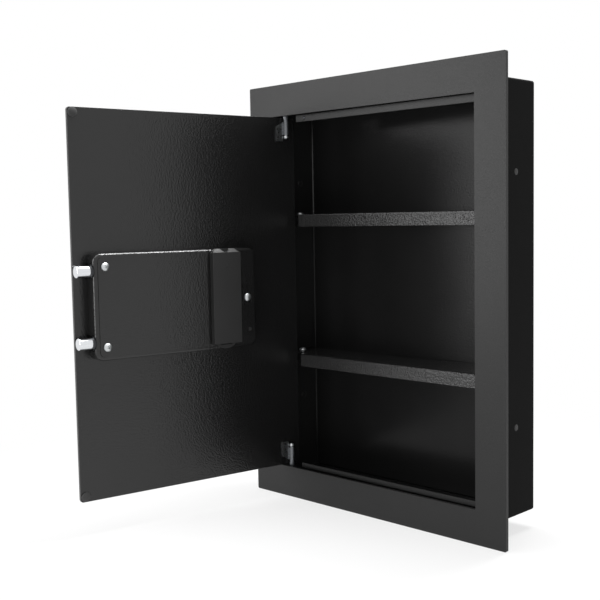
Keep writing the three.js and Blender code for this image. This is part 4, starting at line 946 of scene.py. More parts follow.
class WALLSAFE_OT_body(bpy.types.Operator):
    """Makes the folded sleeve between the studs and the pan that closes its back"""

    bl_idname = "wallsafe.body"
    bl_label = "Body sleeve and back pan"

    def execute(self, context):
        edge = context.scene.wall_safe_sizes.sheet_edge
        self.make_sleeve(edge)
        self.make_pan(edge)
        return {"FINISHED"}

    def make_sleeve(self, edge):
        low, high = span("body_sleeve")
        tube = slab(low, high, BODY_CORNER)
        ease(tube, lying_at(tube.edges, Y, high.y), BODY_REAR_CURL, FOLD_STEPS)
        delete_faces(tube, lying_at(tube.faces, Y, low.y) + lying_at(tube.faces, Y, high.y))
        start, end = low.x - PAST, high.x + PAST
        holes = [
            rod(STUD_HOLE_RADIUS, start, end, X, (0, STUD_HOLE_DEPTH, side * STUD_HOLE_HEIGHT))
            for side in (-1, 1)]
        sleeve = carve(thicken(tube, SHEET), holes)
        # One coated sheet in three finishes: the outside darkened as painted shade, the inside walls, and the
        # floor lightened as painted light
        inner = high - Vector((SHEET, 0, SHEET))
        for face in sleeve.faces:
            place = face.calc_center_median()
            if abs(place.x) < inner.x + SEAT_GAP and abs(place.z) < inner.z + SEAT_GAP:
                face.material_index = 2 if face.normal.z > UP_SHARE else 1
        finish = ("matt_black", "inner_black", "shelf_black")
        hand_over(sleeve, "body_sleeve", "satin_black", edge, finish=finish)
        for hand in (-1, 1):
            for side in (-1, 1):
                self.make_plug(hand, side, high.x)

    def make_plug(self, hand, side, wall):
        """A push-in plug that closes a screw hole from inside until the safe is fixed between its studs."""
        face = wall - SHEET
        profile = [(share * PLUG_HEAD_RADIUS, face - rise * PLUG_HEAD_HEIGHT) for share, rise in PLUG_CROWN]
        profile += [
            (PLUG_HEAD_RADIUS, face - PLUG_EDGE), (PLUG_HEAD_RADIUS, face), (PLUG_STEM_RADIUS, face),
            (PLUG_STEM_RADIUS, wall - PLUG_EDGE), (PLUG_STEM_RADIUS - 2 * PLUG_EDGE, wall), (0, wall)]
        profile = [(radius, hand * place) for radius, place in profile]
        centre = (0, STUD_HOLE_DEPTH, side * STUD_HOLE_HEIGHT)
        row = "upper" if side > 0 else "lower"
        end = "right" if hand > 0 else "left"
        plug = turned(profile, X, centre, SMALL_ROUND_STEPS)
        make_piece(plug, f"{row}_hole_plug_{end}", "cabinet", "black_plastic", finish="inner_black")

    def make_pan(self, edge):
        low, high = span("back_pan")
        rim_end = high.y - BODY_REAR_CURL
        pan = slab(low, (high.x, rim_end, high.z), BODY_CORNER)
        delete_faces(pan, lying_at(pan.faces, Y, rim_end))
        ease(pan, lying_at(pan.edges, Y, low.y), PAN_FOLD_RADIUS, FOLD_STEPS)
        # The back wall takes the duller copy of the coat: painted shade deep in the body
        hand_over(thicken(pan, SHEET), "back_pan", "hammer_black", edge, finish="pan_black")
        levels = [low.z + BEAD_END_GAP]
        for name in ("lower_shelf", "upper_shelf"):
            shelf_low, shelf_high = span(name)
            levels += [shelf_low.z - SEAT_GAP, shelf_high.z + SEAT_GAP]
        levels.append(high.z - BEAD_END_GAP)
        for row, (foot, head) in enumerate(zip(levels[::2], levels[1::2]), 1):
            # The lower beads take the duller copy of the coat: painted shade low in the body
            finish = "hammer_black" if head > high.z / 2 else "pan_black"
            for wall, way, hand in ((low.x, 1, "left"), (high.x, -1, "right")):
                bead = self.bead(wall, way, low.y, foot, head)
                name = f"corner_bead_{hand}_{row}"
                make_piece(bead, name, "cabinet", "hammer_black", angle=BEAD_CRISP_ANGLE, finish=finish)

    def bead(self, wall, way, back, foot, head):
        """A hollow bead of sealant in an upright corner of one compartment, coated with the rest."""
        arc = [(wall, back)]
        for step in range(BEAD_STEPS + 1):
            angle = step / BEAD_STEPS * math.pi / 2
            across = wall + way * BEAD_RADIUS * (1 - math.cos(angle))
            arc.append((across, back - BEAD_RADIUS * (1 - math.sin(angle))))
        return prism(arc, Z, foot, head)


class WALLSAFE_OT_door_stops(bpy.types.Operator):
    """Makes the folded strips that stop the door behind the opening"""

    bl_idname = "wallsafe.door_stops"
    bl_label = "Door stops"

    def execute(self, context):
        edge = context.scene.wall_safe_sizes.sheet_edge
        opening = span("door_panel")[1].z + DOOR_END_GAP
        for name, side in (("door_stop_top", 1), ("door_stop_bottom", -1)):
            low, high = span(name)
            near, far = sorted((abs(low.z), abs(high.z)))
            front, back = low.y + SHEET / 2, high.y - SHEET / 2
            web = opening - SHEET / 2
            path = [(front, side * near), (front, side * web), (back, side * web), (back, side * far)]
            strip = folded_sheet(path, X, low.x, high.x, fold=None)
            hand_over(strip, name, "hammer_black", edge, finish="satin_black")
        low = span("door_stop_top")[0]
        self.make_rivet(Vector((low.x + RIVET_PLACE, low.y, (low.z + opening) / 2)))
        return {"FINISHED"}

    def make_rivet(self, place):
        """The low head of the blind rivet at the upper stop's hinge end."""
        profile = [(share * RIVET_RADIUS, place.y - rise * RIVET_HEIGHT) for share, rise in RIVET_CROWN]
        profile += [
            (RIVET_FACE_SHARE * RIVET_RADIUS, place.y - RIVET_HEIGHT + RIVET_EDGE),
            (RIVET_RADIUS, place.y - RIVET_EDGE), (RIVET_RADIUS, place.y + RIVET_ROOT),
            (0, place.y + RIVET_ROOT)]
        rivet = turned(profile, Y, place, SMALL_ROUND_STEPS)
        make_piece(rivet, "door_stop_rivet", "cabinet", "blackened_steel")


class WALLSAFE_OT_shelves(bpy.types.Operator):
    """Makes both shelves, their brackets and their screws"""

    bl_idname = "wallsafe.shelves"
    bl_label = "Shelves"

    def execute(self, context):
        edge = context.scene.wall_safe_sizes.sheet_edge
        for level in ("upper", "lower"):
            self.make_shelf(level, edge)
            for hand in ("left", "right"):
                self.make_bracket(level, hand, edge)
                make_screw(f"{level}_shelf_screw_{hand}", Z, SHELF_SCREW_HEAD, SHELF_SCREW_SHANK)
        return {"FINISHED"}

    def screw_hole(self, level, hand, low, high):
        """A cutter for a screw's hole through the flat top of a sheet between two corners."""
        place = middle(f"{level}_shelf_screw_{hand}")
        return rod(SHELF_SCREW_SHANK + SEAT_GAP, low.z, high.z + PAST, Z, place)

    def make_shelf(self, level, edge):
        name = f"{level}_shelf"
        low, high = span(name)
        top = high.z - SHEET / 2
        front, rear = low.y + SHEET / 2, high.y - SHEET / 2
        path = [(front, high.z - SHELF_LIP), (front, top), (rear, top), (rear, high.z - SHELF_REAR_LIP)]
        notch = block(
            (low.x - PAST, low.y - PAST, low.z - PAST), (SHELF_NOTCH_EDGE, SHELF_NOTCH_BACK, high.z + PAST))
        holes = [self.screw_hole(level, hand, low, high) for hand in ("left", "right")]
        sheet = carve(folded_sheet(path, X, low.x, high.x), [notch, *holes])
        # The shelf's top takes the duller copy of the coat as painted shade, all its other faces the lighter
        # copy as painted light
        for face in sheet.faces:
            face.material_index = int(face.normal.z > UP_SHARE)
        hand_over(sheet, name, "hammer_black", edge, finish=("shelf_black", "pan_black"))

    def make_bracket(self, level, hand, edge):
        name = f"{level}_shelf_bracket_{hand}"
        low, high = span(name)
        wall, tip = low.x + SHEET / 2, high.x
        if hand == "right":
            wall, tip = high.x - SHEET / 2, low.x
        top = high.z - SHEET / 2
        angle = folded_sheet([(wall, low.z), (wall, top), (tip, top)], Y, low.y, high.y)
        free = edges_along(angle, Z, lambda place: lies_at(place, X, tip))
        ease(angle, free, SHELF_BRACKET_CORNER, steps=5)
        hand_over(carve(angle, [self.screw_hole(level, hand, low, high)]), name, "hammer_black", edge)


class WALLSAFE_OT_hinges(bpy.types.Operator):
    """Makes both hinges: bracket, pin and the door's leaf with its knuckle"""

    bl_idname = "wallsafe.hinges"
    bl_label = "Hinges"

    def execute(self, context):
        edge = context.scene.wall_safe_sizes.sheet_edge
        for level, side in (("top", 1), ("bottom", -1)):
            self.make_bracket(f"hinge_bracket_{level}", side, edge)
            self.make_pin(f"hinge_pin_{level}", side)
            self.make_leaf(f"hinge_leaf_{level}", side, edge)
        return {"FINISHED"}

    def make_bracket(self, name, side, edge):
        low, high = span(name)
        hinge = Vector(joint("door_swing")["pos_m"])
        outer = high.z if side > 0 else low.z
        inner = outer - side * BRACKET_TAB
        tab_back = 2 * hinge.y + BRACKET_PAST_PIN
        tab = block((low.x, low.y, min(inner, outer)), (high.x, tab_back, max(inner, outer)))
        ease(tab, edges_along(tab, Z, lambda place: place.x > hinge.x), BRACKET_CORNER, FOLD_STEPS)
        leg = block(low, (low.x + BRACKET_LEG, high.y, high.z))
        free = edges_along(leg, X, lambda place: place.z * side < inner * side)
        ease(leg, free, BRACKET_CORNER, FOLD_STEPS)
        ends = sorted((inner - side * PAST, outer + side * PAST))
        hole = rod(HINGE_PIN_RADIUS + SEAT_GAP, *ends, Z, hinge)
        hand_over(carve(carve(tab, [leg], "UNION"), [hole]), name, "hammer_black", edge)

    def make_pin(self, name, side):
        """A pin with a round head at its inner end, modelled for the top and mirrored for the bottom."""
        low, high = span(name)
        inner, outer = sorted((abs(low.z), abs(high.z)))
        head = (high.x - low.x) / 2
        half = HINGE_PIN_HEAD_LENGTH / 2
        tail = outer - HINGE_PIN_TAIL_LENGTH
        tail_radius = head - HINGE_PIN_TAIL_STEP
        profile = [(0, inner)]
        for step in range(1, PIN_HEAD_STEPS):
            angle = step / PIN_HEAD_STEPS * math.pi
            radius = head * math.sin(angle)
            place = inner + half - half * math.cos(angle)
            if radius < HINGE_PIN_RADIUS and place > inner + half:
                break
            profile.append((radius, place))
        profile += [
            (HINGE_PIN_RADIUS, profile[-1][1] + HINGE_PIN_NECK), (HINGE_PIN_RADIUS, tail),
            (tail_radius, tail), (tail_radius, tail + HINGE_PIN_TAIL_RIM),
            (tail_radius * HINGE_PIN_TAIL_SHARE, outer), (0, outer)]
        pin = turned(profile, Z, (low + high) / 2, SMALL_ROUND_STEPS)
        if side < 0:
            bmesh.ops.scale(pin, vec=(1, 1, -1), verts=pin.verts)
            bmesh.ops.recalc_face_normals(pin, faces=pin.faces)
        hand_over(pin, name, "zinced_steel", FINE_EDGE, finish="satin_zinc")

    def make_leaf(self, name, side, edge):
        """The door's leaf, with a slanted end and its knuckle rolled round the pin."""
        low, high = span(name)
        inner, outer = sorted((abs(low.z), abs(high.z)))
        hinge = low.x + KNUCKLE_RADIUS
        near = hinge + KNUCKLE_RADIUS + SEAT_GAP
        far = near + LEAF_WIDTH
        start, leaf_end = inner + LEAF_PAST_KNUCKLE, outer - LEAF_PAST_KNUCKLE
        outline = [
            (hinge, start), (near, start), (near, inner), (far, inner),
            (far, leaf_end - LEAF_SLANT_SHARE * LEAF_WIDTH), (near, leaf_end), (hinge, leaf_end)]
        outline = [(across, side * up) for across, up in outline]
        plate = prism(outline, Y, SEAT_GAP, SEAT_GAP + LEAF_SHEET)
        depth = high.y - KNUCKLE_RADIUS
        axis = (hinge, depth, 0)
        foot, head = sorted((side * start, side * outer))
        knuckle = rod(KNUCKLE_RADIUS, foot, head, Z, axis, KNUCKLE_STEPS)
        bore = rod(HINGE_PIN_RADIUS + SEAT_GAP, foot - PAST, head + PAST, Z, axis, SMALL_ROUND_STEPS)
        half = KNUCKLE_SLIT / 2
        slit = block((hinge - half, depth, foot - PAST), (hinge + half, high.y + PAST, head + PAST))
        leaf = carve(carve(plate, [knuckle], "UNION"), [bore, slit])
        # The knuckle takes a darker copy of the leaf's zinc: painted shade
        for face in leaf.faces:
            place = face.calc_center_median()
            if math.hypot(place.x - hinge, place.y - depth) < KNUCKLE_RADIUS + SEAT_GAP:
                face.material_index = 1
        hand_over(leaf, name, "zinced_steel", edge, finish=("zinced_steel", "dull_zinc"))


# Pieces of the door

class WALLSAFE_OT_door_panel(bpy.types.Operator):
    """Makes the door plate and the pads in its free corners"""

    bl_idname = "wallsafe.door_panel"
    bl_label = "Door panel and pads"

    def execute(self, context):
        sizes = context.scene.wall_safe_sizes
        low, high = span("door_panel")
        plate = slab(low, high, DOOR_CORNER)
        ease(plate, lying_at(plate.edges, Y, low.y), sizes.door_chamfer, steps=1)
        ease(plate, lying_at(plate.edges, Y, high.y), sizes.flange_edge, steps=3)
        key_hole = rod(KEY_SHELL_RADIUS + SEAT_GAP, low.y - PAST, high.y + PAST, Y, middle("key_plug"))
        ribbon_hole = centred_slab(
            middle("sensor_window"), RIBBON_HOLE_WIDTH, RIBBON_HOLE_HEIGHT, low.y - PAST, high.y + PAST,
            RIBBON_HOLE_CORNER)
        hand_over(carve(plate, [key_hole, ribbon_hole]), "door_panel", "hammer_black")
        for name in ("bumper_pad_top", "bumper_pad_bottom"):
            low, high = span(name)
            radius = (high.x - low.x) / 2
            profile = [(0, low.y), (radius, low.y)]
            profile += dome(radius, low.y + PAD_RIM, high.y - low.y - PAD_RIM)
            hand_over(turned(profile, Y, (low + high) / 2), name, "black_rubber")
        return {"FINISHED"}


class WALLSAFE_OT_lock_cover(bpy.types.Operator):
    """Makes the pressed cover over the lock, its screws and the post behind one of them"""

    bl_idname = "wallsafe.lock_cover"
    bl_label = "Lock cover"

    def execute(self, context):
        sizes = context.scene.wall_safe_sizes
        low, high = span("lock_cover")
        shell = slab(low, high, COVER_CORNER, steps=12)
        ease(shell, lying_at(shell.edges, Y, high.y), sizes.cover_edge, FOLD_STEPS)
        delete_faces(shell, lying_at(shell.faces, Y, low.y))
        self.press_face(shell, high.y)
        shell = thicken(shell, SHEET)
        inside, outside = high.y - CUTTER_DEPTH, high.y + PAST
        tray_low, tray_high = span("battery_tray")
        first = Vector((tray_low.x + TRAY_RIM_LIP - SEAT_GAP, inside, tray_low.z - SEAT_GAP))
        second = Vector((tray_high.x - TRAY_RIM_LIP + SEAT_GAP, outside, tray_high.z + SEAT_GAP))
        cutters = [block(first, second)]
        screws = [f"cover_screw_{i}" for i in (1, 2, 3)]
        holes = [(COVER_SCREW_SHANK + SEAT_GAP, name) for name in screws]
        for radius, name in (*holes, (BUTTON_HOLE_RADIUS, "program_button")):
            cutters.append(rod(radius, inside, outside, Y, middle(name), SMALL_ROUND_STEPS))
        inside, outside = high.x - CUTTER_DEPTH, high.x + PAST
        radius = GUIDE_SPIGOT_RADIUS + SEAT_GAP
        for name in ("live_bolt_upper", "live_bolt_lower"):
            axis = middle(name)
            cutters.append(rod(radius, inside, outside, X, axis))
            cutters.append(block((inside, low.y - PAST, axis.z - radius), (outside, axis.y, axis.z + radius)))
        hand_over(carve(shell, cutters), "lock_cover", "hammer_black", SOFT_EDGE)
        for name in screws:
            make_screw(name, Y, COVER_SCREW_HEAD + FACE_SINK, COVER_SCREW_SHANK)
        keep_solid("cover_post", "zinced_steel", SOFT_EDGE)
        return {"FINISHED"}

    def press_face(self, shell, height):
        """Sinks the face a little inside its rounded edge, more so towards the bolts, and slopes its rim."""
        face = lying_at(shell.faces, Y, height)
        bmesh.ops.inset_region(shell, faces=face, thickness=FACE_SLOPE)
        left, right = (pick(vertex.co.x for vertex in face[0].verts) for pick in (min, max))
        for vertex in face[0].verts:
            vertex.co.y -= FACE_SINK * (vertex.co.x - left) / (right - left)


class WALLSAFE_OT_bolt_work(bpy.types.Operator):
    """Makes the live bolts, their guides, the carriage, its studs, the motor and its pinion"""

    bl_idname = "wallsafe.bolt_work"
    bl_label = "Bolt work"

    def execute(self, context):
        for level in ("upper", "lower"):
            self.make_bolt(f"live_bolt_{level}", context.scene.wall_safe_sizes.bolt_chamfer)
            self.make_guide(f"bolt_guide_{level}")
        for name, slot in (
                ("bolt_carriage", "zinced_steel"), ("carriage_stud_1", "zinced_steel"),
                ("carriage_stud_2", "zinced_steel"), ("gear_motor", "nickel_plate"),
                ("motor_bracket", "zinced_steel"), ("drive_pinion", "brass")):
            keep_solid(name, slot, MACHINED_EDGE)
        return {"FINISHED"}

    def make_bolt(self, name, chamfer):
        low, high = span(name)
        shoulder = low.x + BOLT_STUB_LENGTH
        bolt = turned([
            (0, low.x), (BOLT_STUB_RADIUS, low.x), (BOLT_STUB_RADIUS, shoulder), (BOLT_RADIUS, shoulder),
            (BOLT_RADIUS, high.x - chamfer), (BOLT_RADIUS - chamfer, high.x), (0, high.x)],
            X, (low + high) / 2)
        hand_over(bolt, name, "chromed_steel", SOFT_EDGE)

    def make_guide(self, name):
        low, high = span(name)
        axis = middle(name.replace("bolt_guide", "live_bolt"))
        block_end = low.x + GUIDE_BLOCK_LENGTH
        collar_start = high.x - GUIDE_COLLAR_LENGTH
        guide_block = block(low, (block_end, high.y, high.z))
        top_edges = edges_along(guide_block, Z, lambda place: place.x > low.x and place.y > axis.y)
        ease(guide_block, top_edges, GUIDE_BLOCK_CHAMFER, steps=1)
        spigot = rod(GUIDE_SPIGOT_RADIUS, block_end - PAST, collar_start + PAST, X, axis)
        collar = turned([
            (0, collar_start), (GUIDE_COLLAR_RADIUS, collar_start),
            (GUIDE_COLLAR_RADIUS, high.x - GUIDE_COLLAR_CHAMFER),
            (GUIDE_COLLAR_RADIUS - GUIDE_COLLAR_CHAMFER, high.x), (0, high.x)], X, axis)
        bore = rod(BOLT_RADIUS + SEAT_GAP, low.x - PAST, high.x + PAST, X, axis)
        guide = carve(carve(guide_block, [spigot, collar], "UNION"), [bore])
        hand_over(guide, name, "blackened_steel", MACHINED_EDGE)


class WALLSAFE_OT_battery_box(bpy.types.Operator):
    """Makes the battery tray, its cells and contacts, and the lid with its catch and lip"""

    bl_idname = "wallsafe.battery_box"
    bl_label = "Battery box"

    def execute(self, context):
        self.make_lid(context.scene.wall_safe_sizes.moulding_edge)
        keep_solid("battery_tray", "black_plastic", SOFT_EDGE)
        for level in ("top", "bottom"):
            keep_solid(f"battery_contact_{level}", "nickel_plate", MACHINED_EDGE)
        for i in (1, 2, 3, 4):
            keep_solid(f"battery_cell_{i}", "cell_wrap", CELL_EDGE)
        return {"FINISHED"}

    def make_lid(self, edge):
        low, high = span("battery_lid")
        seat, face = low.y, high.y
        bottom, top = low.z + LID_LIP, high.z - LID_SLOPE
        across = (low.x + high.x) / 2
        cap = slab((low.x, seat, bottom), (high.x, face, top), LID_CORNER, steps=5)
        ease(cap, lying_at(cap.edges, Y, face), LID_EDGE, steps=2)
        delete_faces(cap, lying_at(cap.faces, Y, seat))
        cap = thicken(cap, LID_WALL)
        corner = Vector((LID_MARK_LENGTH / 2, LID_MARK_HEIGHT, LID_MARK_WIDTH / 2))
        mark = block(-corner, corner)
        place = Matrix.Translation((across, face, top - LID_MARK_DROP))
        move = place @ Matrix.Rotation(LID_MARK_SLANT, 4, "Y")
        bmesh.ops.transform(mark, matrix=move, verts=mark.verts)
        parts = [self.lid_slope(low, high, across, top), self.lid_lip(low, high, across, bottom), mark]
        hand_over(carve(cap, parts, "UNION"), "battery_lid", "black_plastic", edge / 2)

    def lid_slope(self, low, high, across, top):
        """The catch's sloped end, narrower at its top and with a round notch."""
        seat, face = low.y, high.y
        shoulder = face - LID_CORNER
        slope = prism(
            [(seat, top - LID_OVERLAP), (shoulder, top - LID_OVERLAP), (shoulder, top - LID_SLOPE_DROP),
             (seat + LID_SLOPE_FOOT, top + LID_SLOPE), (seat, top + LID_SLOPE)],
            X, low.x + LID_CORNER, high.x - LID_CORNER)
        half = LID_SLOPE_TOP_WIDTH / 2
        foot, head = top - 2 * PAST, high.z + PAST
        plan = prism(
            [(low.x, foot), (high.x, foot), (high.x - LID_SLOPE_SHOULDER, top), (across + half, head),
             (across - half, head), (low.x + LID_SLOPE_SHOULDER, top)], Y, seat - PAST, face)
        slope = carve(slope, [plan], "INTERSECT")
        notch_centre = (across, 0, top + LID_NOTCH_RADIUS)
        return carve(slope, [rod(LID_NOTCH_RADIUS, seat + LID_SLOPE_FOOT, face + PAST, Y, notch_centre)])

    def lid_lip(self, low, high, across, bottom):
        """The lip at the lid's foot: a slice of a disc, with a slot just below the cap."""
        seat, face = low.y, high.y
        radius = (LID_LIP_WIDTH ** 2 / 4 + LID_LIP ** 2) / (2 * LID_LIP)
        disc = rod(radius, seat, seat + LID_LIP_THICKNESS, Y, (across, 0, low.z + radius), LID_LIP_STEPS)
        keep = block((low.x, seat - PAST, low.z - PAST), (high.x, face, bottom + LID_OVERLAP))
        half = LID_SLOT_WIDTH / 2
        slot = block(
            (across - half, seat - PAST, bottom - LID_SLOT_HEIGHT),
            (across + half, face, bottom - LID_SLOT_SKIN))
        return carve(carve(disc, [keep], "INTERSECT"), [slot])


class WALLSAFE_OT_electronics(bpy.types.Operator):
    """Makes the circuit board, the programming button and its switch, the ribbon and the leads"""

    bl_idname = "wallsafe.electronics"
    bl_label = "Electronics"

    def execute(self, context):
        low, high = span("program_button")
        rim = (high.x - low.x) / 2
        stem = rim - BUTTON_RIM
        rim_end = span("lock_cover")[1].y - SHEET - SEAT_GAP
        button = turned([
            (0, low.y), (stem, low.y), (stem, rim_end - SHEET), (rim, rim_end - SHEET), (rim, rim_end),
            (stem, rim_end), (stem, high.y - BUTTON_CHAMFER), (stem - BUTTON_CHAMFER, high.y),
            (0, high.y - BUTTON_DISH)], Y, (low + high) / 2, SMALL_ROUND_STEPS)
        hand_over(button, "program_button", "black_plastic", FINE_EDGE)
        for name, slot in (
                ("program_switch", "black_plastic"), ("circuit_board", "green_board"),
                ("reader_ribbon", "grey_cable"), ("battery_lead", "grey_cable"),
                ("motor_lead", "grey_cable")):
            keep_solid(name, slot, FINE_EDGE, ELECTRONICS_CRISP_ANGLE)
        return {"FINISHED"}


class WALLSAFE_OT_reader(bpy.types.Operator):
    """Makes the fingerprint reader on the door's front, with its window and light"""

    bl_idname = "wallsafe.reader"
    bl_label = "Fingerprint reader"

    def execute(self, context):
        self.make_housing(context.scene.wall_safe_sizes.moulding_edge)
        low, high = span("sensor_window")
        hand_over(slab(low, high, WINDOW_CORNER), "sensor_window", "dark_glass", GLASS_EDGE)
        low, high = span("status_light")
        radius = (high.x - low.x) / 2
        lens = [(0, high.y), (radius, high.y)]
        lens += [(radius * share, low.y + drop) for share, drop in LENS_DOME]
        hand_over(turned(lens, Y, (low + high) / 2, SMALL_ROUND_STEPS), "status_light", "green_lens")
        return {"FINISHED"}

    def make_housing(self, edge):
        """The housing, with pockets for the window, the light, the key's flange and the cap's pivot."""
        low, high = span("reader_housing")
        key, sensor = middle("key_plug"), middle("sensor_window")
        light_low, light_high = span("status_light")
        light_radius = (light_high.x - light_low.x) / 2
        body = slab(low, high, READER_CORNER, steps=16)
        ease(body, lying_at(body.edges, Y, low.y), READER_EDGE, steps=5)
        front, back = low.y - PAST, high.y + PAST
        flange_back = low.y + KEY_FLANGE_THICKNESS + 2 * SEAT_GAP
        light, pivot = (light_low + light_high) / 2, cap_pivot(key)
        cutters = [
            centred_slab(sensor, POCKET_WIDTH, POCKET_HEIGHT, front, low.y + POCKET_DEPTH, POCKET_CORNER),
            centred_slab(sensor, RIBBON_HOLE_WIDTH, RIBBON_HOLE_HEIGHT, low.y, back, RIBBON_HOLE_CORNER),
            rod(KEY_FLANGE_RADIUS + SEAT_GAP, front, flange_back, Y, key),
            rod(KEY_SHELL_RADIUS + SEAT_GAP, front, back, Y, key),
            rod(light_radius + SEAT_GAP, front, light_high.y + SEAT_GAP, Y, light, SMALL_ROUND_STEPS),
            rod(CAP_PIVOT_RADIUS + SEAT_GAP, front, low.y + CAP_PIVOT_DEPTH, Y, pivot, SMALL_ROUND_STEPS),
        ]
        hand_over(carve(body, cutters), "reader_housing", "black_plastic", edge)


class WALLSAFE_OT_key_lock(bpy.types.Operator):
    """Makes the emergency key lock and the cap that covers it"""

    bl_idname = "wallsafe.key_lock"
    bl_label = "Key lock"

    def execute(self, context):
        low, high = span("key_shell")
        key = (low + high) / 2
        bore = KEY_PLUG_RADIUS + SEAT_GAP
        front, back = low.y, low.y + KEY_FLANGE_THICKNESS
        ring = [
            (bore, front + KEY_BORE_CHAMFER), (bore + KEY_SHELL_EDGE, front),
            (KEY_FLANGE_RADIUS - KEY_SHELL_EDGE, front), (KEY_FLANGE_RADIUS, front + KEY_SHELL_EDGE),
            (KEY_FLANGE_RADIUS, back), (KEY_SHELL_RADIUS, back), (KEY_SHELL_RADIUS, high.y),
            (bore, high.y), (bore, front + KEY_BORE_CHAMFER)]
        hand_over(turned(ring, Y, key), "key_shell", "nickel_plate", FINE_EDGE)
        low, high = span("key_plug")
        plug = turned([
            (0, low.y), (KEY_PLUG_RADIUS - KEY_PLUG_CHAMFER, low.y),
            (KEY_PLUG_RADIUS, low.y + KEY_PLUG_CHAMFER), (KEY_PLUG_RADIUS, high.y), (0, high.y)], Y, key)
        half_width, half_height = KEYWAY_WIDTH / 2, KEYWAY_HEIGHT / 2
        keyway = block(
            (key.x - half_width, low.y - PAST, key.z - half_height),
            (key.x + half_width, low.y + KEYWAY_DEPTH, key.z + half_height))
        hand_over(carve(plug, [keyway]), "key_plug", "nickel_plate", FINE_EDGE)
        keep_solid("key_cam", "zinced_steel", MACHINED_EDGE)
        self.make_cap(key)
        return {"FINISHED"}

    def make_cap(self, key):
        """The cap: a dished disc over the keyhole, with an ear above it that turns on a post."""
        low, high = span("key_cap")
        front, back = low.y, low.y + CAP_THICKNESS
        pivot = cap_pivot(key)
        disc = turned([
            (0, front + CAP_DISH), (CAP_RADIUS - CAP_DISH_RIM, front + CAP_DISH),
            (CAP_RADIUS - CAP_FACE_RIM, front), (CAP_RADIUS - CAP_EDGE, front),
            (CAP_RADIUS, front + CAP_EDGE), (CAP_RADIUS, back), (0, back)], Y, key)
        ear = rod(CAP_EAR_RADIUS, front + CAP_EAR_STEP, back, Y, pivot, CAP_EAR_STEPS)
        post = rod(CAP_PIVOT_RADIUS, back - CAP_DISH, high.y, Y, pivot, SMALL_ROUND_STEPS)
        hand_over(carve(disc, [ear, post], "UNION"), "key_cap", "black_plastic", SOFT_EDGE)


# Studio

def make_softbox(name, place, aim, width, height, power):
    """A rectangular light that faces a point."""
    data = bpy.data.lights.new(name, "AREA")
    data.shape = "RECTANGLE"
    data.size = width
    data.size_y = height
    data.energy = power
    box = bpy.data.objects.new(name, data)
    box.location = place
    box.rotation_euler = (Vector(aim) - Vector(place)).to_track_quat("-Z", "Y").to_euler()
    bpy.context.scene.collection.objects.link(box)


def seen_directly(tree):
    """1 for rays that the camera, a gloss or a glass sends out, and 0 for rays that only gather light."""
    path = add_node(tree, "ShaderNodeLightPath").outputs
    rays = {0: path["Is Camera Ray"], 1: path["Is Glossy Ray"]}
    first = add_node(tree, "ShaderNodeMath", links=rays, operation="ADD")
    rays = {0: first.outputs[0], 1: path["Is Transmission Ray"]}
    return add_node(tree, "ShaderNodeMath", links=rays, operation="ADD", use_clamp=True).outputs[0]


def white_room(level):
    """A room that shows white and lights the safe evenly from all round."""
    world = bpy.data.worlds.new("white room")
    world.use_nodes = True
    tree = world.node_tree
    tree.nodes.clear()
    light = add_node(tree, "ShaderNodeBackground", {"Color": (1, 1, 1, 1), "Strength": level})
    white = add_node(tree, "ShaderNodeBackground", {"Color": (1, 1, 1, 1), "Strength": 1.0})
    shares = {"Fac": seen_directly(tree), 1: light.outputs[0], 2: white.outputs[0]}
    mix = add_node(tree, "ShaderNodeMixShader", links=shares)
    add_node(tree, "ShaderNodeOutputWorld", links={"Surface": mix.outputs[0]})
    bpy.context.scene.world = world


def white_floor():
    """Matt white paper that shows the safe's shadow near it and fades to plain white further out."""
    material = bpy.data.materials.new("matt white paper floor")
    material.use_nodes = True
    tree = material.node_tree
    tree.nodes.clear()
    paper = add_node(tree, "ShaderNodeBsdfDiffuse", {"Color": (*linear("#f4f4f4"), 1)})
    white = add_node(tree, "ShaderNodeEmission", {"Color": (1, 1, 1, 1), "Strength": 1.0})
    place = add_node(tree, "ShaderNodeTexCoord").outputs["Object"]
    away = add_node(tree, "ShaderNodeVectorMath", links={0: place}, operation="LENGTH")
    fade = add_node(
        tree, "ShaderNodeMapRange",
        {"From Min": FLOOR_NEAR, "From Max": FLOOR_FAR, "To Min": FLOOR_NEAR_WHITE, "To Max": 1.0},
        {"Value": away.outputs["Value"]}, interpolation_type="SMOOTHSTEP")
    factors = {0: fade.outputs["Result"], 1: seen_directly(tree)}
    share = add_node(tree, "ShaderNodeMath", links=factors, operation="MULTIPLY")
    shares = {"Fac": share.outputs[0], 1: paper.outputs[0], 2: white.outputs[0]}
    mix = add_node(tree, "ShaderNodeMixShader", links=shares)
    add_node(tree, "ShaderNodeOutputMaterial", links={"Surface": mix.outputs[0]})
    return material


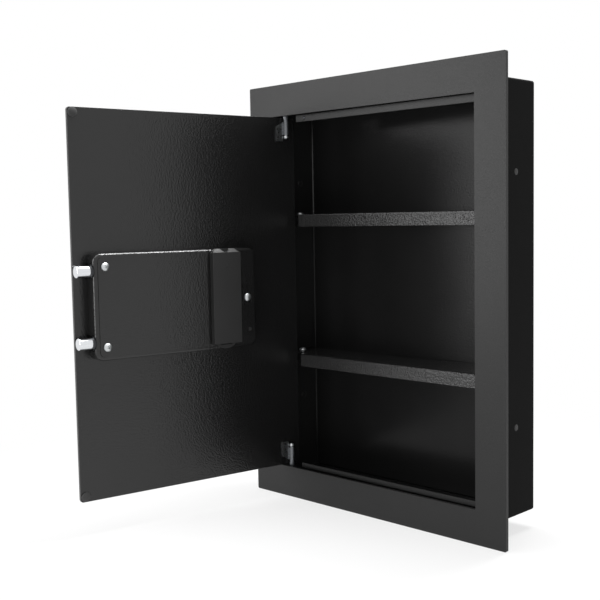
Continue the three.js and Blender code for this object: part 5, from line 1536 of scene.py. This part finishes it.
class WALLSAFE_OT_studio(bpy.types.Operator):
    """Makes the white floor, the soft lights and the camera at the photograph's angle"""

    bl_idname = "wallsafe.studio"
    bl_label = "Studio"

    def execute(self, context):
        studio = context.scene.wall_safe_studio
        self.make_floor(context.scene)
        white_room(studio.room_level)
        make_softbox("overhead softbox", *OVERHEAD_SOFTBOX, studio.overhead_power)
        make_softbox("front softbox", *FRONT_SOFTBOX, studio.front_power)
        make_softbox("strip softbox", *STRIP_SOFTBOX, studio.strip_power)
        self.set_camera(context.scene)
        context.scene.view_settings.view_transform = "Standard"
        return {"FINISHED"}

    def make_floor(self, scene):
        foot = span("wall_flange")[0].z
        bm = bmesh.new()
        bmesh.ops.create_grid(bm, x_segments=1, y_segments=1, size=FLOOR_REACH)
        bmesh.ops.translate(bm, vec=(0, 0, foot - FLOOR_DROP), verts=bm.verts)
        mesh = bpy.data.meshes.new("floor")
        bm.to_mesh(mesh)
        bm.free()
        mesh.materials.append(white_floor())
        floor = bpy.data.objects.new("floor", mesh)
        scene.collection.objects.link(floor)

    def set_camera(self, scene):
        level = math.cos(CAMERA_ELEVATION)
        back = Vector((
            math.sin(CAMERA_AZIMUTH) * level, -math.cos(CAMERA_AZIMUTH) * level, math.sin(CAMERA_ELEVATION)))
        right = Vector((0, 0, 1)).cross(back).normalized()
        up = back.cross(right)
        turn = Matrix((right, up, back)).transposed().to_4x4() @ Matrix.Rotation(CAMERA_ROLL, 4, "Z")
        data = bpy.data.cameras.new("camera")
        data.sensor_width = SENSOR_WIDTH
        data.lens = FOCAL_PIXELS / PHOTO_SIDE * SENSOR_WIDTH
        data.clip_start = 0.01
        camera = bpy.data.objects.new("camera", data)
        camera.matrix_world = Matrix.Translation(CAMERA_PLACE) @ turn
        scene.collection.objects.link(camera)
        scene.camera = camera


OPERATORS = (
    WALLSAFE_OT_flange,
    WALLSAFE_OT_body,
    WALLSAFE_OT_door_stops,
    WALLSAFE_OT_shelves,
    WALLSAFE_OT_hinges,
    WALLSAFE_OT_door_panel,
    WALLSAFE_OT_lock_cover,
    WALLSAFE_OT_bolt_work,
    WALLSAFE_OT_battery_box,
    WALLSAFE_OT_electronics,
    WALLSAFE_OT_reader,
    WALLSAFE_OT_key_lock,
    WALLSAFE_OT_studio,
)


class WALLSAFE_PT_panel(bpy.types.Panel):
    """Lists the safe's pieces, sizes and colours"""

    bl_idname = "WALLSAFE_PT_panel"
    bl_label = "Wall Safe"
    bl_space_type = "VIEW_3D"
    bl_region_type = "UI"
    bl_category = "Wall Safe"

    def draw(self, context):
        column = self.layout.column()
        for name, group in GROUPS.items():
            for value in group.__annotations__:
                column.prop(getattr(context.scene, name), value)
        for operator in OPERATORS:
            column.operator(operator.bl_idname)


CLASSES = (*GROUPS.values(), *OPERATORS, WALLSAFE_PT_panel)


def register():
    for item in CLASSES:
        bpy.utils.register_class(item)
    for name, group in GROUPS.items():
        setattr(bpy.types.Scene, name, bpy.props.PointerProperty(type=group))


def unregister():
    for name in GROUPS:
        delattr(bpy.types.Scene, name)
    for item in reversed(CLASSES):
        bpy.utils.unregister_class(item)


def main():
    register()
    for operator in OPERATORS:
        group, name = operator.bl_idname.split(".")
        getattr(getattr(bpy.ops, group), name)()


if __name__ == "__main__":
    main()
